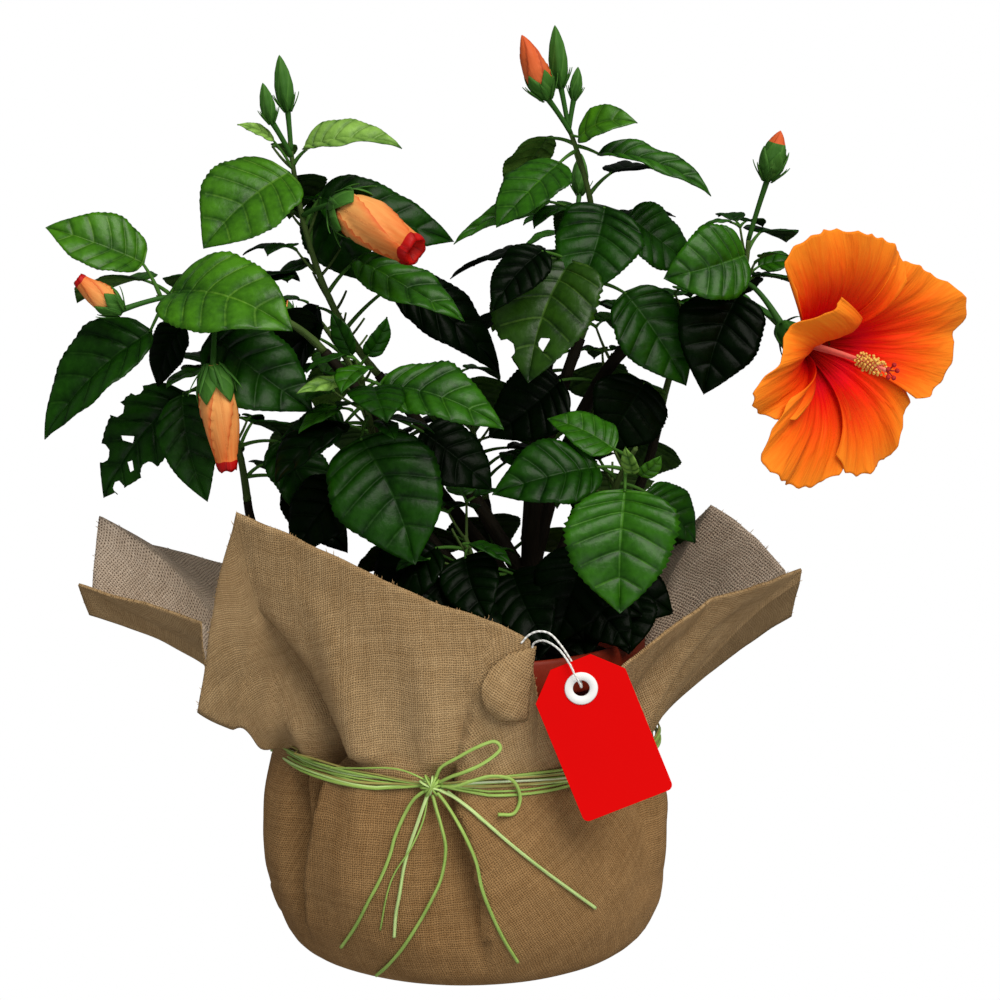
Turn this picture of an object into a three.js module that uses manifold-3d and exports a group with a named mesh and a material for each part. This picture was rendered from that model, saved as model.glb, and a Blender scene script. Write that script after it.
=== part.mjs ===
// A potted hibiscus shrub: pot, soil, jute wrap, raffia tie, swing tag, stems, foliage and bloom.
// Millimetres, +Z up, the front of the plant towards -Y, the origin under the middle of the wrap.
import * as THREE from 'three';
import Module from 'manifold-3d';
import { mergeVertices } from 'three/addons/utils/BufferGeometryUtils.js';

const wasm = await Module();
wasm.setup();

const group = new THREE.Group();
const vec = (x, y, z) => new THREE.Vector3(x, y, z);
const degrees = Math.PI / 180;

// Fits
const clearance = 0.3;

// Pot and soil
const potRimRadius = 95;
const potRimTop = 170;
const potRimHeight = 20;
const potRimStep = 3;
const potBaseRadius = 69;
const potWall = 3;
const potSides = 32;
const soilTop = 150;

// Jute wrap
const clothThickness = 2.2;
const wrapBaseRadius = 88;
const neckRadius = 99.5;
const neckHeight = 115;
const bandHeight = 111;
const collarSteps = 4;

// Raffia, tag and its string
const raffiaWidth = 2.4;
const raffiaLift = 2;
const tagWidth = 47;
const tagLength = 78;
const tagThickness = 1;
const tagLean = -22 * degrees;
const eyelet = { x: 57.7, y: -113, z: 163, hole: 4.1, tube: 5, flange: 8.2, depth: 1.2 };
const stringWidth = 1.4;
const cordSides = 8;

// Stems and leaves
const twigRadius = 2.1;
const twigTipRadius = 1.2;
const petioleRadius = 0.9;
const bladeHalfThickness = 0.8;
const bladeFold = 0.16;
const smallLeaf = 37;
const bladeOutline = [[0, 0], [0.2, 0.84], [0.46, 1], [0.76, 0.62], [1, 0]];
const smallOutline = [[0, 0], [0.3, 0.96], [0.66, 0.8], [1, 0]];
const fillOutline = [[0, 0], [0.4, 1], [1, 0]];

// Finishes
const finish = (color, roughness) => new THREE.MeshStandardMaterial({ color, roughness, metalness: 0 });
const looks = {
  pot: () => finish('#6e3524', 0.55),
  soil: () => finish('#17120e', 0.95),
  jute: () => finish('#96774f', 0.95),
  raffia: () => finish('#93b83f', 0.6),
  tag: () => finish('#d8140f', 0.4),
  white: () => finish('#f2f2f0', 0.5),
  bark: () => finish('#4c4030', 0.85),
  leaf: () => finish('#245c1c', 0.4),
  bloom: () => finish('#ee7d23', 0.6),
};

// Bare triangles with shared corners, facing outwards
function closed(geometry) {
  const bare = geometry.index ? geometry.toNonIndexed() : geometry.clone();
  bare.deleteAttribute('normal');
  bare.deleteAttribute('uv');
  const merged = mergeVertices(bare, 1e-3);
  const place = merged.attributes.position;
  const corners = merged.index.array;
  const kept = [];
  let volume = 0;
  for (let i = 0; i < corners.length; i += 3) {
    const [a, b, c] = [corners[i], corners[i + 1], corners[i + 2]];
    if (a === b || b === c || c === a) continue;
    kept.push(a, b, c);
    const [p, q, r] = [a, b, c].map((n) => vec(0, 0, 0).fromBufferAttribute(place, n));
    volume += p.dot(q.cross(r));
  }
  if (volume < 0) kept.reverse();
  merged.setIndex(kept);
  return merged;
}

function solidOf(geometry) {
  const mesh = closed(geometry);
  return new wasm.Manifold(new wasm.Mesh({
    numProp: 3,
    vertProperties: mesh.attributes.position.array,
    triVerts: Uint32Array.from(mesh.index.array),
  }));
}

// The main body of a cut or joined solid, without loose scraps or sealed hollows
function mainBody(solid) {
  const bodies = solid.decompose();
  return bodies.reduce((best, body) => (body.volume() > best.volume() ? body : best), bodies[0]);
}

const placed = [];

function add(name, solid, look) {
  const { numProp, vertProperties, triVerts } = solid.getMesh();
  const geometry = new THREE.BufferGeometry();
  geometry.setAttribute('position', new THREE.BufferAttribute(vertProperties, numProp));
  geometry.setIndex(new THREE.BufferAttribute(triVerts, 1));
  const mesh = new THREE.Mesh(geometry, look());
  mesh.name = name;
  group.add(mesh);
  placed.push({ name, solid, box: solid.boundingBox() });
}

const apart = (a, b) => [0, 1, 2].some((k) => a.min[k] > b.max[k] || b.min[k] > a.max[k]);

// True where a solid would cut into a piece that is already there
function blocked(solid) {
  const box = solid.boundingBox();
  return placed.some((piece) => !apart(box, piece.box) && solid.intersect(piece.solid).volume() > 1e-3);
}

// A cylinder whose rings are carried along a path, each with its own width, thickness and fold
function sweep(rings, sides) {
  const geometry = new THREE.CylinderGeometry(1, 1, 1, sides, rings.length - 1);
  const place = geometry.attributes.position;
  for (let i = 0; i < place.count; i += 1) {
    const ring = rings[Math.round((place.getY(i) + 0.5) * (rings.length - 1))];
    const side = place.getX(i);
    const rise = place.getZ(i) * ring.thick + Math.abs(side) * ring.fold;
    const spot = ring.at.clone()
      .addScaledVector(ring.across, side * ring.wide)
      .addScaledVector(ring.up, rise);
    place.setXYZ(i, spot.x, spot.y, spot.z);
  }
  return geometry;
}

// Rings square to a curve, turning with it as little as they can
function roundRings(curve, radii) {
  let up = vec(0.31, 0.9, 0.29);
  return radii.map(([share, radius]) => {
    const along = curve.getTangent(share);
    up = up.clone().addScaledVector(along, -up.dot(along)).normalize();
    const across = along.clone().cross(up);
    return { at: curve.getPoint(share), across, up, wide: radius, thick: radius, fold: 0 };
  });
}

function taper(base, tip, steps) {
  return Array.from({ length: steps + 1 }, (_, i) => [i / steps, base + (tip - base) * (i / steps)]);
}

function bent(start, middle, end) {
  return new THREE.QuadraticBezierCurve3(vec(...start), vec(...middle), vec(...end));
}

const limbSolid = (curve, radii, sides) => solidOf(sweep(roundRings(curve, radii), sides));

// A cord is one section drawn along a smooth path
function cordSolid(points, width, steps) {
  const corners = Array.from({ length: cordSides }, (_, k) => {
    const angle = (2 * Math.PI * k) / cordSides;
    return new THREE.Vector2((width / 2) * Math.cos(angle), (width / 2) * Math.sin(angle));
  });
  const extrudePath = new THREE.CatmullRomCurve3(points, false, 'catmullrom', 0.5);
  const settings = { steps, extrudePath, bevelEnabled: false };
  return solidOf(new THREE.ExtrudeGeometry(new THREE.Shape(corners), settings));
}

const lathe = (profile, sides) => {
  const geometry = new THREE.LatheGeometry(profile.map(([r, z]) => new THREE.Vector2(r, z)), sides);
  geometry.rotateX(Math.PI / 2);
  return geometry;
};

// Pot, set on the cloth, with a stepped rim
function potSolid() {
  const bottom = clothThickness + clearance;
  const rimBottom = potRimTop - potRimHeight;
  return solidOf(lathe([
    [0, bottom],
    [potBaseRadius, bottom],
    [potRimRadius - potRimStep - 4, rimBottom],
    [potRimRadius - 1, rimBottom + 1],
    [potRimRadius, potRimTop - 2],
    [potRimRadius - 1, potRimTop],
    [potRimRadius - potWall, potRimTop],
    [potRimRadius - potRimStep - 4 - potWall, rimBottom],
    [potBaseRadius - potWall, bottom + potWall],
    [0, bottom + potWall],
  ], potSides));
}

function soilSolid() {
  const bottom = clothThickness + potWall + 2 * clearance;
  const foot = potBaseRadius - potWall - 2 * clearance;
  const brim = potRimRadius - potRimStep - 4 - potWall - 2 * clearance;
  return solidOf(lathe([[0, bottom], [foot, bottom], [brim, soilTop], [0, soilTop]], potSides));
}

// The rim of the cloth seen from above: direction, reach, height, and how far a rib bows out or in
const clothRim = [
  [1.7, 169, 198, -14], [9, 159, 210, -14], [15.5, 150, 219, -12], [20.6, 142, 226, -10],
  [31, 136, 202, -8], [45, 118, 184, -4], [62, 109, 176, -2], [80, 104, 171, 0],
  [105, 103, 171, 0], [130, 112, 178, -4], [148, 128, 186, -8], [159.5, 143, 193, -12],
  [170, 173, 206, -18], [177, 194, 226, -20], [181.8, 199, 178, -14], [184.6, 203, 195, -12],
  [189.5, 170, 188, -8], [194.3, 141, 178, -4], [201, 142, 152, 0], [207, 153, 140, 6],
  [210, 145, 191, 6], [213.3, 136, 244, 2], [226.4, 117, 231, 2], [239.6, 107, 221, 2],
  [252, 101, 209, 1], [265, 99, 201, 0], [280, 100.5, 192, 0], [288.5, 104, 182, 1],
  [293, 108, 158, 2], [299, 112, 143, 2], [305, 116, 146, 0], [311.6, 120, 169, -2],
  [322, 127, 184, -6], [334, 139, 197, -10], [344, 158, 201, -12], [352.9, 177, 204, -12],
  [356.7, 172, 177, -8],
];

// The cloth from the middle of its underside up to the tie, as radius and height
const clothBody = [[0, 0], [60, 0], [wrapBaseRadius, 0], [97, 8], [104.5, 28], [107.5, 56], [105.5, 84],
  [100.2, 106]];

function clothRib(row) {
  const [direction, reach, height, bow] = clothRim[row % clothRim.length];
  const rise = height - neckHeight;
  const run = reach - neckRadius;
  const length = Math.hypot(rise, run);
  const knee = [
    (neckRadius + reach) / 2 + (bow * rise) / length,
    (neckHeight + height) / 2 - (bow * run) / length,
  ];
  return { direction: direction * degrees, knee, edge: [reach, height] };
}

function clothPoint(rib, share) {
  const [a, b, c] = [(1 - share) ** 2, 2 * share * (1 - share), share ** 2];
  const radius = a * neckRadius + b * rib.knee[0] + c * rib.edge[0];
  const height = a * neckHeight + b * rib.knee[1] + c * rib.edge[1];
  return vec(radius * Math.cos(rib.direction), radius * Math.sin(rib.direction), height);
}

function wrapSolid() {
  const ribs = clothRim.map((_, row) => clothRib(row));
  const shares = Array.from({ length: collarSteps + 1 }, (_, k) => k / collarSteps);
  const collar = ribs.map((rib) => shares.map((share) => clothPoint(rib, share)));
  const half = clothThickness / 2;
  const skin = (row, step, side) => {
    const count = ribs.length;
    const [left, right] = [collar[(row + count - 1) % count], collar[(row + 1) % count]];
    const [low, high] = [Math.max(step - 1, 0), Math.min(step + 1, collarSteps)];
    const around = right[step].clone().sub(left[step]);
    const upward = collar[row][high].clone().sub(collar[row][low]);
    const outward = around.cross(upward).normalize();
    return collar[row][step].clone().addScaledVector(outward, side * half);
  };
  const bodySkin = (row, [radius, height], side) => {
    const { direction } = ribs[row];
    const r = radius === 0 ? 0 : radius + (height > 0 ? side * half : 0);
    const z = height > 0 ? height : half - side * half;
    return vec(r * Math.cos(direction), r * Math.sin(direction), z);
  };
  const levels = clothBody.length + collarSteps + 1;
  const profile = Array.from({ length: 2 * levels }, (_, k) => new THREE.Vector2(k === 0 ? 0 : 1, k));
  profile[profile.length - 1].x = 0;
  const geometry = new THREE.LatheGeometry(profile, ribs.length);
  const place = geometry.attributes.position;
  for (let i = 0; i < place.count; i += 1) {
    const row = Math.floor(i / profile.length) % ribs.length;
    const order = i % profile.length;
    const side = order < levels ? 1 : -1;
    const level = order < levels ? order : 2 * levels - 1 - order;
    const spot = level < clothBody.length
      ? bodySkin(row, clothBody[level], side)
      : skin(row, level - clothBody.length, side);
    place.setXYZ(i, spot.x, spot.y, spot.z);
  }
  return solidOf(geometry);
}

// Radius of the cloth's outside below the tie, at a height
function clothRadius(z) {
  const line = [...clothBody.slice(2), [neckRadius, neckHeight]];
  const next = Math.max(1, line.findIndex(([, height]) => height >= z));
  const top = z > neckHeight ? line.length - 1 : next;
  const [low, high] = [line[top - 1], line[top]];
  const share = Math.min((z - low[1]) / (high[1] - low[1]), 1);
  return low[0] + (high[0] - low[0]) * share + clothThickness / 2;
}

// A place on the front of the cloth, seen from the front, lifted clear of it
function onCloth([x, z, lift]) {
  const radius = clothRadius(z) + (lift ?? raffiaLift);
  return vec(x, -Math.sqrt(radius ** 2 - x ** 2), z);
}

// Raffia band round the neck, with the knot on its front
const bandSteps = 36;
const bandSides = 4;
const knot = { x: -16, z: 111, lift: 5.6, width: 7, height: 6, depth: 4.5 };

function knotSolid(grow) {
  const ball = new THREE.SphereGeometry(1, 8, 6);
  ball.scale(knot.width + grow, knot.depth + grow, knot.height + grow);
  ball.translate(knot.x, onCloth([knot.x, knot.z, knot.lift]).y, knot.z);
  return solidOf(ball);
}

function raffiaBand() {
  const ring = neckRadius + clothThickness / 2 + clearance + raffiaWidth / 2 + 0.4;
  const section = Array.from({ length: bandSides + 1 }, (_, k) => {
    const angle = -((k % bandSides) + 0.5) * (360 / bandSides) * degrees;
    return [ring + (raffiaWidth / 2) * Math.cos(angle), 2 * (raffiaWidth / 2) * Math.sin(angle)];
  });
  const band = lathe(section, bandSteps);
  band.translate(0, 0, bandHeight);
  return mainBody(solidOf(band).add(knotSolid(0)));
}

// Loose raffia strands by hand, as seen from the front: sideways place, height, lift off the cloth
const raffiaStrands = {
  raffia_tail_left: [[-19, 109, 5.6], [-25, 104, 6], [-30, 95, 4], [-34, 85], [-37, 74], [-42, 61], [-48, 48],
    [-55, 34], [-63, 20]],
  raffia_tail_middle: [[-17.5, 107.5, 5.6], [-20, 101, 5.6], [-23, 92, 4], [-27, 80], [-30, 68], [-32, 56],
    [-34, 44], [-35, 32]],
  raffia_tail_long: [[-15.4, 107, 5.6], [-13.5, 100, 5.6], [-11, 91, 4], [-9, 80], [-11, 66], [-16, 54],
    [-23, 40], [-31, 26], [-39, 14], [-45, 6]],
  raffia_tail_right: [[-13, 108, 5.6], [-9, 103, 5.6], [-4, 95, 4], [1, 86], [6, 74], [9, 60], [14, 46],
    [20, 32], [27, 18]],
  raffia_tail_far: [[-12, 109.4, 5.6], [-5, 106, 5.6], [3, 100, 4], [11, 93], [21, 84], [32, 74], [43, 64],
    [55, 53], [66, 42]],
  raffia_loop: [[-14, 115, 5.6], [-11, 121, 6], [-3, 126, 6], [6, 131, 6], [15, 134, 6], [18, 130, 7],
    [10, 124, 9], [1, 120, 10], [-6, 117, 8.5], [-12, 113.2, 5.6]],
  raffia_bow: [[-11, 111.4, 5.6], [-4, 112, 8], [4, 115, 9], [14, 117, 8], [24, 114, 6], [28, 105, 5],
    [25, 97, 4], [17, 97, 5]],
};

// Tag with a clipped top, turned about its eyelet
function tagSolid() {
  const outline = new THREE.Shape();
  const half = tagWidth / 2;
  const top = 14;
  outline.moveTo(-half + 3, top - tagLength);
  outline.lineTo(half - 3, top - tagLength);
  outline.quadraticCurveTo(half, top - tagLength, half, top - tagLength + 3);
  outline.lineTo(half, top - 13);
  outline.lineTo(half - 13, top);
  outline.lineTo(-half + 13, top);
  outline.lineTo(-half, top - 13);
  outline.lineTo(-half, top - tagLength + 3);
  outline.quadraticCurveTo(-half, top - tagLength, -half + 3, top - tagLength);
  const hole = new THREE.Path();
  hole.absarc(0, 0, eyelet.tube + clearance, 0, 2 * Math.PI, true);
  outline.holes.push(hole);
  const plate = new THREE.ExtrudeGeometry(outline, {
    depth: tagThickness,
    bevelEnabled: false,
    curveSegments: 8,
  });
  plate.translate(0, 0, -tagThickness / 2);
  plate.rotateX(Math.PI / 2);
  plate.rotateY(tagLean);
  plate.translate(eyelet.x, eyelet.y, eyelet.z);
  return solidOf(plate);
}

function eyeletSolid() {
  const { hole, tube, flange, depth } = eyelet;
  const seat = tagThickness / 2 + clearance;
  const ring = lathe([
    [hole, -depth], [flange - 1, -depth], [flange, -seat], [tube, -seat],
    [tube, seat], [flange, seat], [flange - 1, depth], [hole, depth], [hole, -depth],
  ], 12);
  ring.rotateX(Math.PI / 2);
  ring.translate(eyelet.x, eyelet.y, eyelet.z);
  return solidOf(ring);
}

// The string hangs from the edge of the cloth, goes through the eyelet and back up
const stringRoute = [
  [33.6, -100.5, 179.5], [35, -102.8, 183.4], [40, -107.6, 185.4], [46.4, -112.6, 182.6],
  [51.5, -115.6, 176.4], [54.5, -116.6, 170.5], [56.8, -115.6, 166], [57.8, -113, 163.5],
  [57.4, -110.4, 166], [55.4, -109.2, 171], [52, -108.2, 177], [47.5, -107, 183.5], [42.4, -105.8, 188.6],
  [36.8, -104.2, 189.4], [32, -102.4, 187], [28.4, -101.3, 182.8],
];

// Main stem and boughs: start, bend and end, with the radius at each end
const stem = { path: [[31, 8, soilTop + clearance], [31, 8, 176], [34, 8, 200]], base: 8, flare: 11.5, tip: 6 };
const boughs = [
  { name: 'bough_top', path: [[33, 8, 190], [36, 6, 262], [60, 3, 322]], base: 4.6, tip: 2.8 },
  { name: 'bough_upper_left', path: [[33, 8, 188], [2, 22, 245], [-46, 10, 302]], base: 4.4, tip: 2.6 },
  { name: 'bough_right', path: [[33, 8, 186], [62, 22, 336], [127, -4, 338]], base: 4.2, tip: 2.6 },
  { name: 'bough_left', path: [[33, 8, 178], [-34, -18, 272], [-72, -24, 318]], base: 4, tip: 2.6 },
  { name: 'bough_centre', path: [[33, 8, 172], [-26, -26, 196], [-44, -44, 268]], base: 3.8, tip: 2.5 },
  { name: 'bough_front_right', path: [[33, 8, 176], [64, -32, 186], [72, -48, 236]], base: 3.8, tip: 2.5 },
  { name: 'bough_lower_left', path: [[33, 8, 166], [-108, 2, 160], [-115, 0, 236]], base: 3.6, tip: 2.3 },
  { name: 'bough_inner_right', path: [[33, 8, 180], [60, 34, 206], [64, 26, 258]], base: 3.4, tip: 2.3 },
  { name: 'bough_back_middle', path: [[33, 8, 192], [32, 52, 252], [48, 66, 316]], base: 3.8, tip: 2.4 },
  { name: 'bough_back_left', path: [[33, 8, 170], [-34, 66, 196], [-56, 76, 276]], base: 3.6, tip: 2.4 },
  { name: 'bough_back_right', path: [[33, 8, 174], [92, 62, 196], [106, 62, 274]], base: 3.6, tip: 2.4 },
  { name: 'bough_back_low', path: [[33, 8, 164], [18, 92, 168], [10, 108, 218]], base: 3.4, tip: 2.3 },
  { name: 'bough_low', path: [[33, 8, 160], [16, -38, 158], [10, -46, 190]], base: 3.2, tip: 2.2 },
];

// The masses of foliage, each grown from the end of one bough. A leaf is given by where it leaves the
// twig, the foot and tip of its blade, its width, the way its upper side looks, and its arch. A bud is
// given by where it leaves the twig, the foot of its calyx, its tip and its radius. What fills the mass
// is drawn by its seed: how many leaves, between which directions, and how long.
const masses = [
  {
    name: 'foliage_upper_left', bough: 'bough_upper_left', tip: [-90, 0, 424], seed: 11,
    leaves: [
      { at: 0.78, foot: [-90, -6, 409], tip: [-133, -25, 371], width: 54, looks: [-1, -3, 2] },
      { at: 0.92, foot: [-83, -2, 420], tip: [-32, -10, 421], width: 26, looks: [0, -1, 2], arch: 0.14 },
      { at: 0.7, foot: [-76, 2, 394], tip: [-6, 10, 372], width: 32, looks: [0, -1, 2], arch: 0.08 },
      { at: 0.62, foot: [-74, 22, 384], tip: [-60, 28, 346], width: 30, looks: [1, -1, 1] },
      { at: 0.42, foot: [-57, 2, 364], tip: [0, -28, 334], width: 34, looks: [0, -1, 2] },
      { at: 0.25, foot: [-38, 18, 350], tip: [18, 22, 301], width: 32, looks: [1, -2, 1], arch: 0.16 },
      { at: 0.5, foot: [-82, 22, 360], tip: [-101, 26, 352], width: 14, looks: [0, -1, 2] },
      { at: 0.3, foot: [-78, 18, 338], tip: [-90, 24, 300], width: 26, looks: [-1, -1, 1] },
      { at: 0.9, foot: [-98, -2, 425], tip: [-116, -10, 433], width: 8, looks: [0, -1, 1] },
    ],
    buds: [
      { at: 0.97, foot: [-91, 0, 440], tip: [-95, 0, 468], radius: 5 },
      { at: 0.95, foot: [-99, -6, 434], tip: [-103, -8, 454], radius: 4 },
      { at: 0.74, foot: [-66, -20, 394], tip: [-24, -48, 371], radius: 13 },
    ],
    fill: { leaves: 8, from: 20, to: 170, long: 46 },
  },
  {
    name: 'foliage_left', bough: 'bough_left', tip: [-156, -36, 347], seed: 23,
    leaves: [
      { at: 0.98, foot: [-162, -32, 364], tip: [-212, -30, 382], width: 34, looks: [0, -2, 2], arch: 0.1 },
      { at: 0.9, foot: [-149, -40, 350], tip: [-84, -74, 334], width: 54, looks: [0, -3, 3], arch: 0.12 },
      { at: 0.95, foot: [-158, -40, 331], tip: [-213, -46, 276], width: 44, looks: [-2, -3, 2] },
      { at: 0.8, foot: [-146, -14, 332], tip: [-160, -8, 298], width: 26, looks: [-1, -2, 1] },
      { at: 0.6, foot: [-128, -42, 330], tip: [-76, -54, 291], width: 48, looks: [1, -2, 1] },
    ],
    buds: [
      { at: 0.96, foot: [-172, -50, 341], tip: [-193, -52, 358], radius: 7 },
      { at: 0.72, foot: [-125, -64, 316], tip: [-118, -66, 263], radius: 10 },
    ],
    fill: { leaves: 8, from: 40, to: 150, long: 46 },
  },
  {
    name: 'foliage_lower_left', bough: 'bough_lower_left', tip: [-128, -12, 304], seed: 31,
    leaves: [
      { at: 0.9, foot: [-146, -10, 296], tip: [-190, -6, 239], width: 42, looks: [-1, -3, 1] },
      { at: 0.96, foot: [-145, -28, 297], tip: [-132, -36, 242], width: 30, looks: [0, -3, 1] },
      { at: 0.45, foot: [-96, -20, 272], tip: [-72, -36, 228], width: 34, looks: [1, -2, 1] },
      { at: 0.2, foot: [-92, -4, 250], tip: [-62, -8, 210], width: 32, looks: [1, -2, 1] },
    ],
    buds: [],
    fill: { leaves: 7, from: 60, to: 190, long: 44 },
  },
  {
    name: 'foliage_centre', bough: 'bough_centre', tip: [-52, -60, 316], seed: 41,
    leaves: [
      { at: 0.85, foot: [-43, -62, 306], tip: [20, -80, 286], width: 40, looks: [0, -2, 3], arch: 0.1 },
      { at: 0.45, foot: [-52, -66, 280], tip: [-24, -86, 219], width: 58, looks: [0, -3, 1] },
      { at: 0.6, foot: [-60, -52, 284], tip: [-94, -44, 275], width: 30, looks: [-1, -2, 2] },
      { at: 0.5, foot: [-22, -42, 280], tip: [14, -46, 250], width: 36, looks: [1, -2, 1] },
      { at: 0.95, foot: [-56, -66, 309], tip: [-82, -82, 304], width: 12, looks: [0, -1, 2] },
      { at: 1, foot: [-56, -60, 320], tip: [-66, -58, 342], width: 12, looks: [-1, -2, 0] },
      { at: 0.98, foot: [-48, -62, 320], tip: [-38, -64, 340], width: 12, looks: [1, -2, 0] },
      { at: 0.2, foot: [-58, -54, 256], tip: [-86, -62, 218], width: 38, looks: [-1, -2, 1] },
    ],
    buds: [],
    fill: { leaves: 6, from: 150, to: 300, long: 42 },
  },
  {
    name: 'foliage_top', bough: 'bough_top', tip: [53, 0, 432], seed: 53,
    leaves: [
      { at: 0.9, foot: [49, -8, 414], tip: [16, -30, 382], width: 36, looks: [-1, -2, 2] },
      { at: 0.6, foot: [44, 0, 394], tip: [-6, -8, 372], width: 18, looks: [0, -1, 2] },
      { at: 0.96, foot: [58, -4, 426], tip: [88, -14, 434], width: 16, looks: [0, -1, 2], arch: 0.12 },
      { at: 0.92, foot: [68, -5, 418], tip: [126, -15, 397], width: 22, looks: [0, -1, 2], arch: 0.1 },
      { at: 0.65, foot: [72, -12, 392], tip: [56, -36, 346], width: 46, looks: [0, -3, 2] },
      { at: 0.55, foot: [84, 4, 386], tip: [120, 10, 358], width: 40, looks: [1, -2, 2] },
      { at: 0.35, foot: [54, -30, 366], tip: [32, -56, 306], width: 56, looks: [-1, -3, 1] },
      { at: 0.3, foot: [82, -12, 348], tip: [114, -20, 300], width: 42, looks: [1, -3, 1] },
    ],
    buds: [
      { at: 0.97, foot: [42, -8, 446], tip: [29, -10, 478], radius: 7 },
      { at: 1, foot: [49, 0, 452], tip: [46, 0, 483], radius: 5 },
      { at: 0.99, foot: [56, 0, 446], tip: [58, 0, 462], radius: 3.4 },
    ],
    fill: { leaves: 8, from: 20, to: 160, long: 46 },
  },
  {
    name: 'foliage_right', bough: 'bough_right', tip: [146, -7, 374], seed: 61,
    leaves: [
      { at: 0.4, foot: [141, -14, 347], tip: [122, -32, 297], width: 44, looks: [0, -3, 1] },
      { at: 0.8, foot: [144, -16, 362], tip: [101, -30, 350], width: 40, looks: [0, -3, 2], arch: 0.12 },
      { at: 0.6, foot: [152, 2, 360], tip: [174, 4, 362], width: 18, looks: [0, -1, 2] },
    ],
    buds: [{ at: 1, foot: [155, -10, 405], tip: [161, -12, 430], radius: 7 }],
    fill: { leaves: 7, from: 10, to: 160, long: 44 },
  },
  {
    name: 'foliage_front_right', bough: 'bough_front_right', tip: [86, -64, 274], seed: 71,
    leaves: [
      { at: 0.7, foot: [68, -58, 264], tip: [14, -72, 252], width: 40, looks: [0, -2, 2], arch: 0.1 },
      { at: 0.85, foot: [76, -54, 272], tip: [42, -42, 286], width: 28, looks: [0, -2, 3] },
      { at: 0.75, foot: [80, -78, 256], tip: [77, -98, 197], width: 58, looks: [0, -3, 1] },
      { at: 0.1, foot: [62, -58, 222], tip: [46, -70, 174], width: 40, looks: [-1, -3, 1] },
      { at: 0.5, foot: [92, -50, 250], tip: [118, -44, 222], width: 30, looks: [1, -2, 2] },
      { at: 1, foot: [86, -66, 279], tip: [82, -70, 296], width: 10, looks: [-1, -2, 0] },
      { at: 0.98, foot: [90, -66, 277], tip: [98, -68, 292], width: 10, looks: [1, -2, 0] },
    ],
    buds: [],
    fill: { leaves: 5, from: 40, to: 170, long: 40 },
  },
  {
    name: 'foliage_inner_right', bough: 'bough_inner_right', tip: [78, 20, 312], seed: 83,
    leaves: [
      { at: 0.85, foot: [94, -2, 300], tip: [72, -8, 264], width: 42, looks: [1, -3, 1] },
      { at: 0.7, foot: [50, -8, 302], tip: [12, -14, 272], width: 40, looks: [-1, -3, 1] },
    ],
    buds: [],
    fill: { leaves: 6, from: 20, to: 130, long: 44 },
  },
  {
    name: 'foliage_low', bough: 'bough_low', tip: [0, -44, 226], seed: 89,
    leaves: [
      { at: 0.8, foot: [-14, -52, 222], tip: [-46, -62, 192], width: 36, looks: [-1, -2, 1] },
      { at: 0.2, foot: [16, -56, 198], tip: [26, -74, 176], width: 28, looks: [1, -2, 1] },
      { at: 0.5, foot: [-10, -60, 206], tip: [-30, -72, 182], width: 30, looks: [0, -2, 1] },
    ],
    buds: [],
    fill: { leaves: 7, from: 60, to: 260, long: 38 },
  },
  {
    name: 'foliage_back_middle', bough: 'bough_back_middle', tip: [60, 90, 376], seed: 97,
    leaves: [],
    buds: [{ at: 1, foot: [62, 98, 392], tip: [63, 102, 414], radius: 5 }],
    fill: { leaves: 16, from: 0, to: 360, long: 50 },
  },
  {
    name: 'foliage_back_left', bough: 'bough_back_left', tip: [-84, 92, 324], seed: 101,
    leaves: [],
    buds: [{ at: 0.95, foot: [-100, 110, 320], tip: [-113, 122, 336], radius: 6 }],
    fill: { leaves: 13, from: 0, to: 360, long: 52 },
  },
  {
    name: 'foliage_back_right', bough: 'bough_back_right', tip: [128, 84, 334], seed: 113,
    leaves: [],
    buds: [],
    fill: { leaves: 17, from: 0, to: 360, long: 50 },
  },
  {
    name: 'foliage_back_low', bough: 'bough_back_low', tip: [-4, 126, 282], seed: 127,
    leaves: [],
    buds: [],
    fill: { leaves: 16, from: 0, to: 360, long: 52 },
  },
];

function seeded(seed) {
  let state = seed;
  return () => {
    state = (Math.imul(state, 1664525) + 1013904223) >>> 0;
    return state / 4294967296;
  };
}

// A leaf: a petiole from the twig to the foot, then a folded blade that arches to its tip
function leafSolid({ root, foot, tip, width, upper, arch, outline }, grow) {
  const axis = tip.clone().sub(foot);
  const length = axis.length();
  axis.normalize();
  const up = upper.clone().addScaledVector(axis, -upper.dot(axis)).normalize();
  const stalk = foot.clone().sub(root).normalize();
  const stalkUp = up.clone().addScaledVector(stalk, -up.dot(stalk)).normalize();
  const radius = petioleRadius + grow;
  const rings = [
    { at: root, across: stalk.clone().cross(stalkUp), up: stalkUp, wide: radius, thick: radius, fold: 0 },
  ];
  outline.forEach(([share, breadth]) => {
    const lean = 4 * arch * (1 - 2 * share);
    const along = axis.clone().addScaledVector(up, lean).normalize();
    const rise = up.clone().addScaledVector(axis, -lean).normalize();
    const wide = breadth > 0 ? (breadth * width) / 2 + grow : radius * (1 - share);
    rings.push({
      at: foot.clone().addScaledVector(axis, length * share)
        .addScaledVector(up, 4 * arch * length * share * (1 - share)),
      across: along.cross(rise),
      up: rise,
      wide,
      thick: breadth > 0 ? bladeHalfThickness + grow : wide,
      fold: breadth > 0 ? wide * bladeFold : 0,
    });
  });
  return solidOf(sweep(rings, 4));
}

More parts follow.
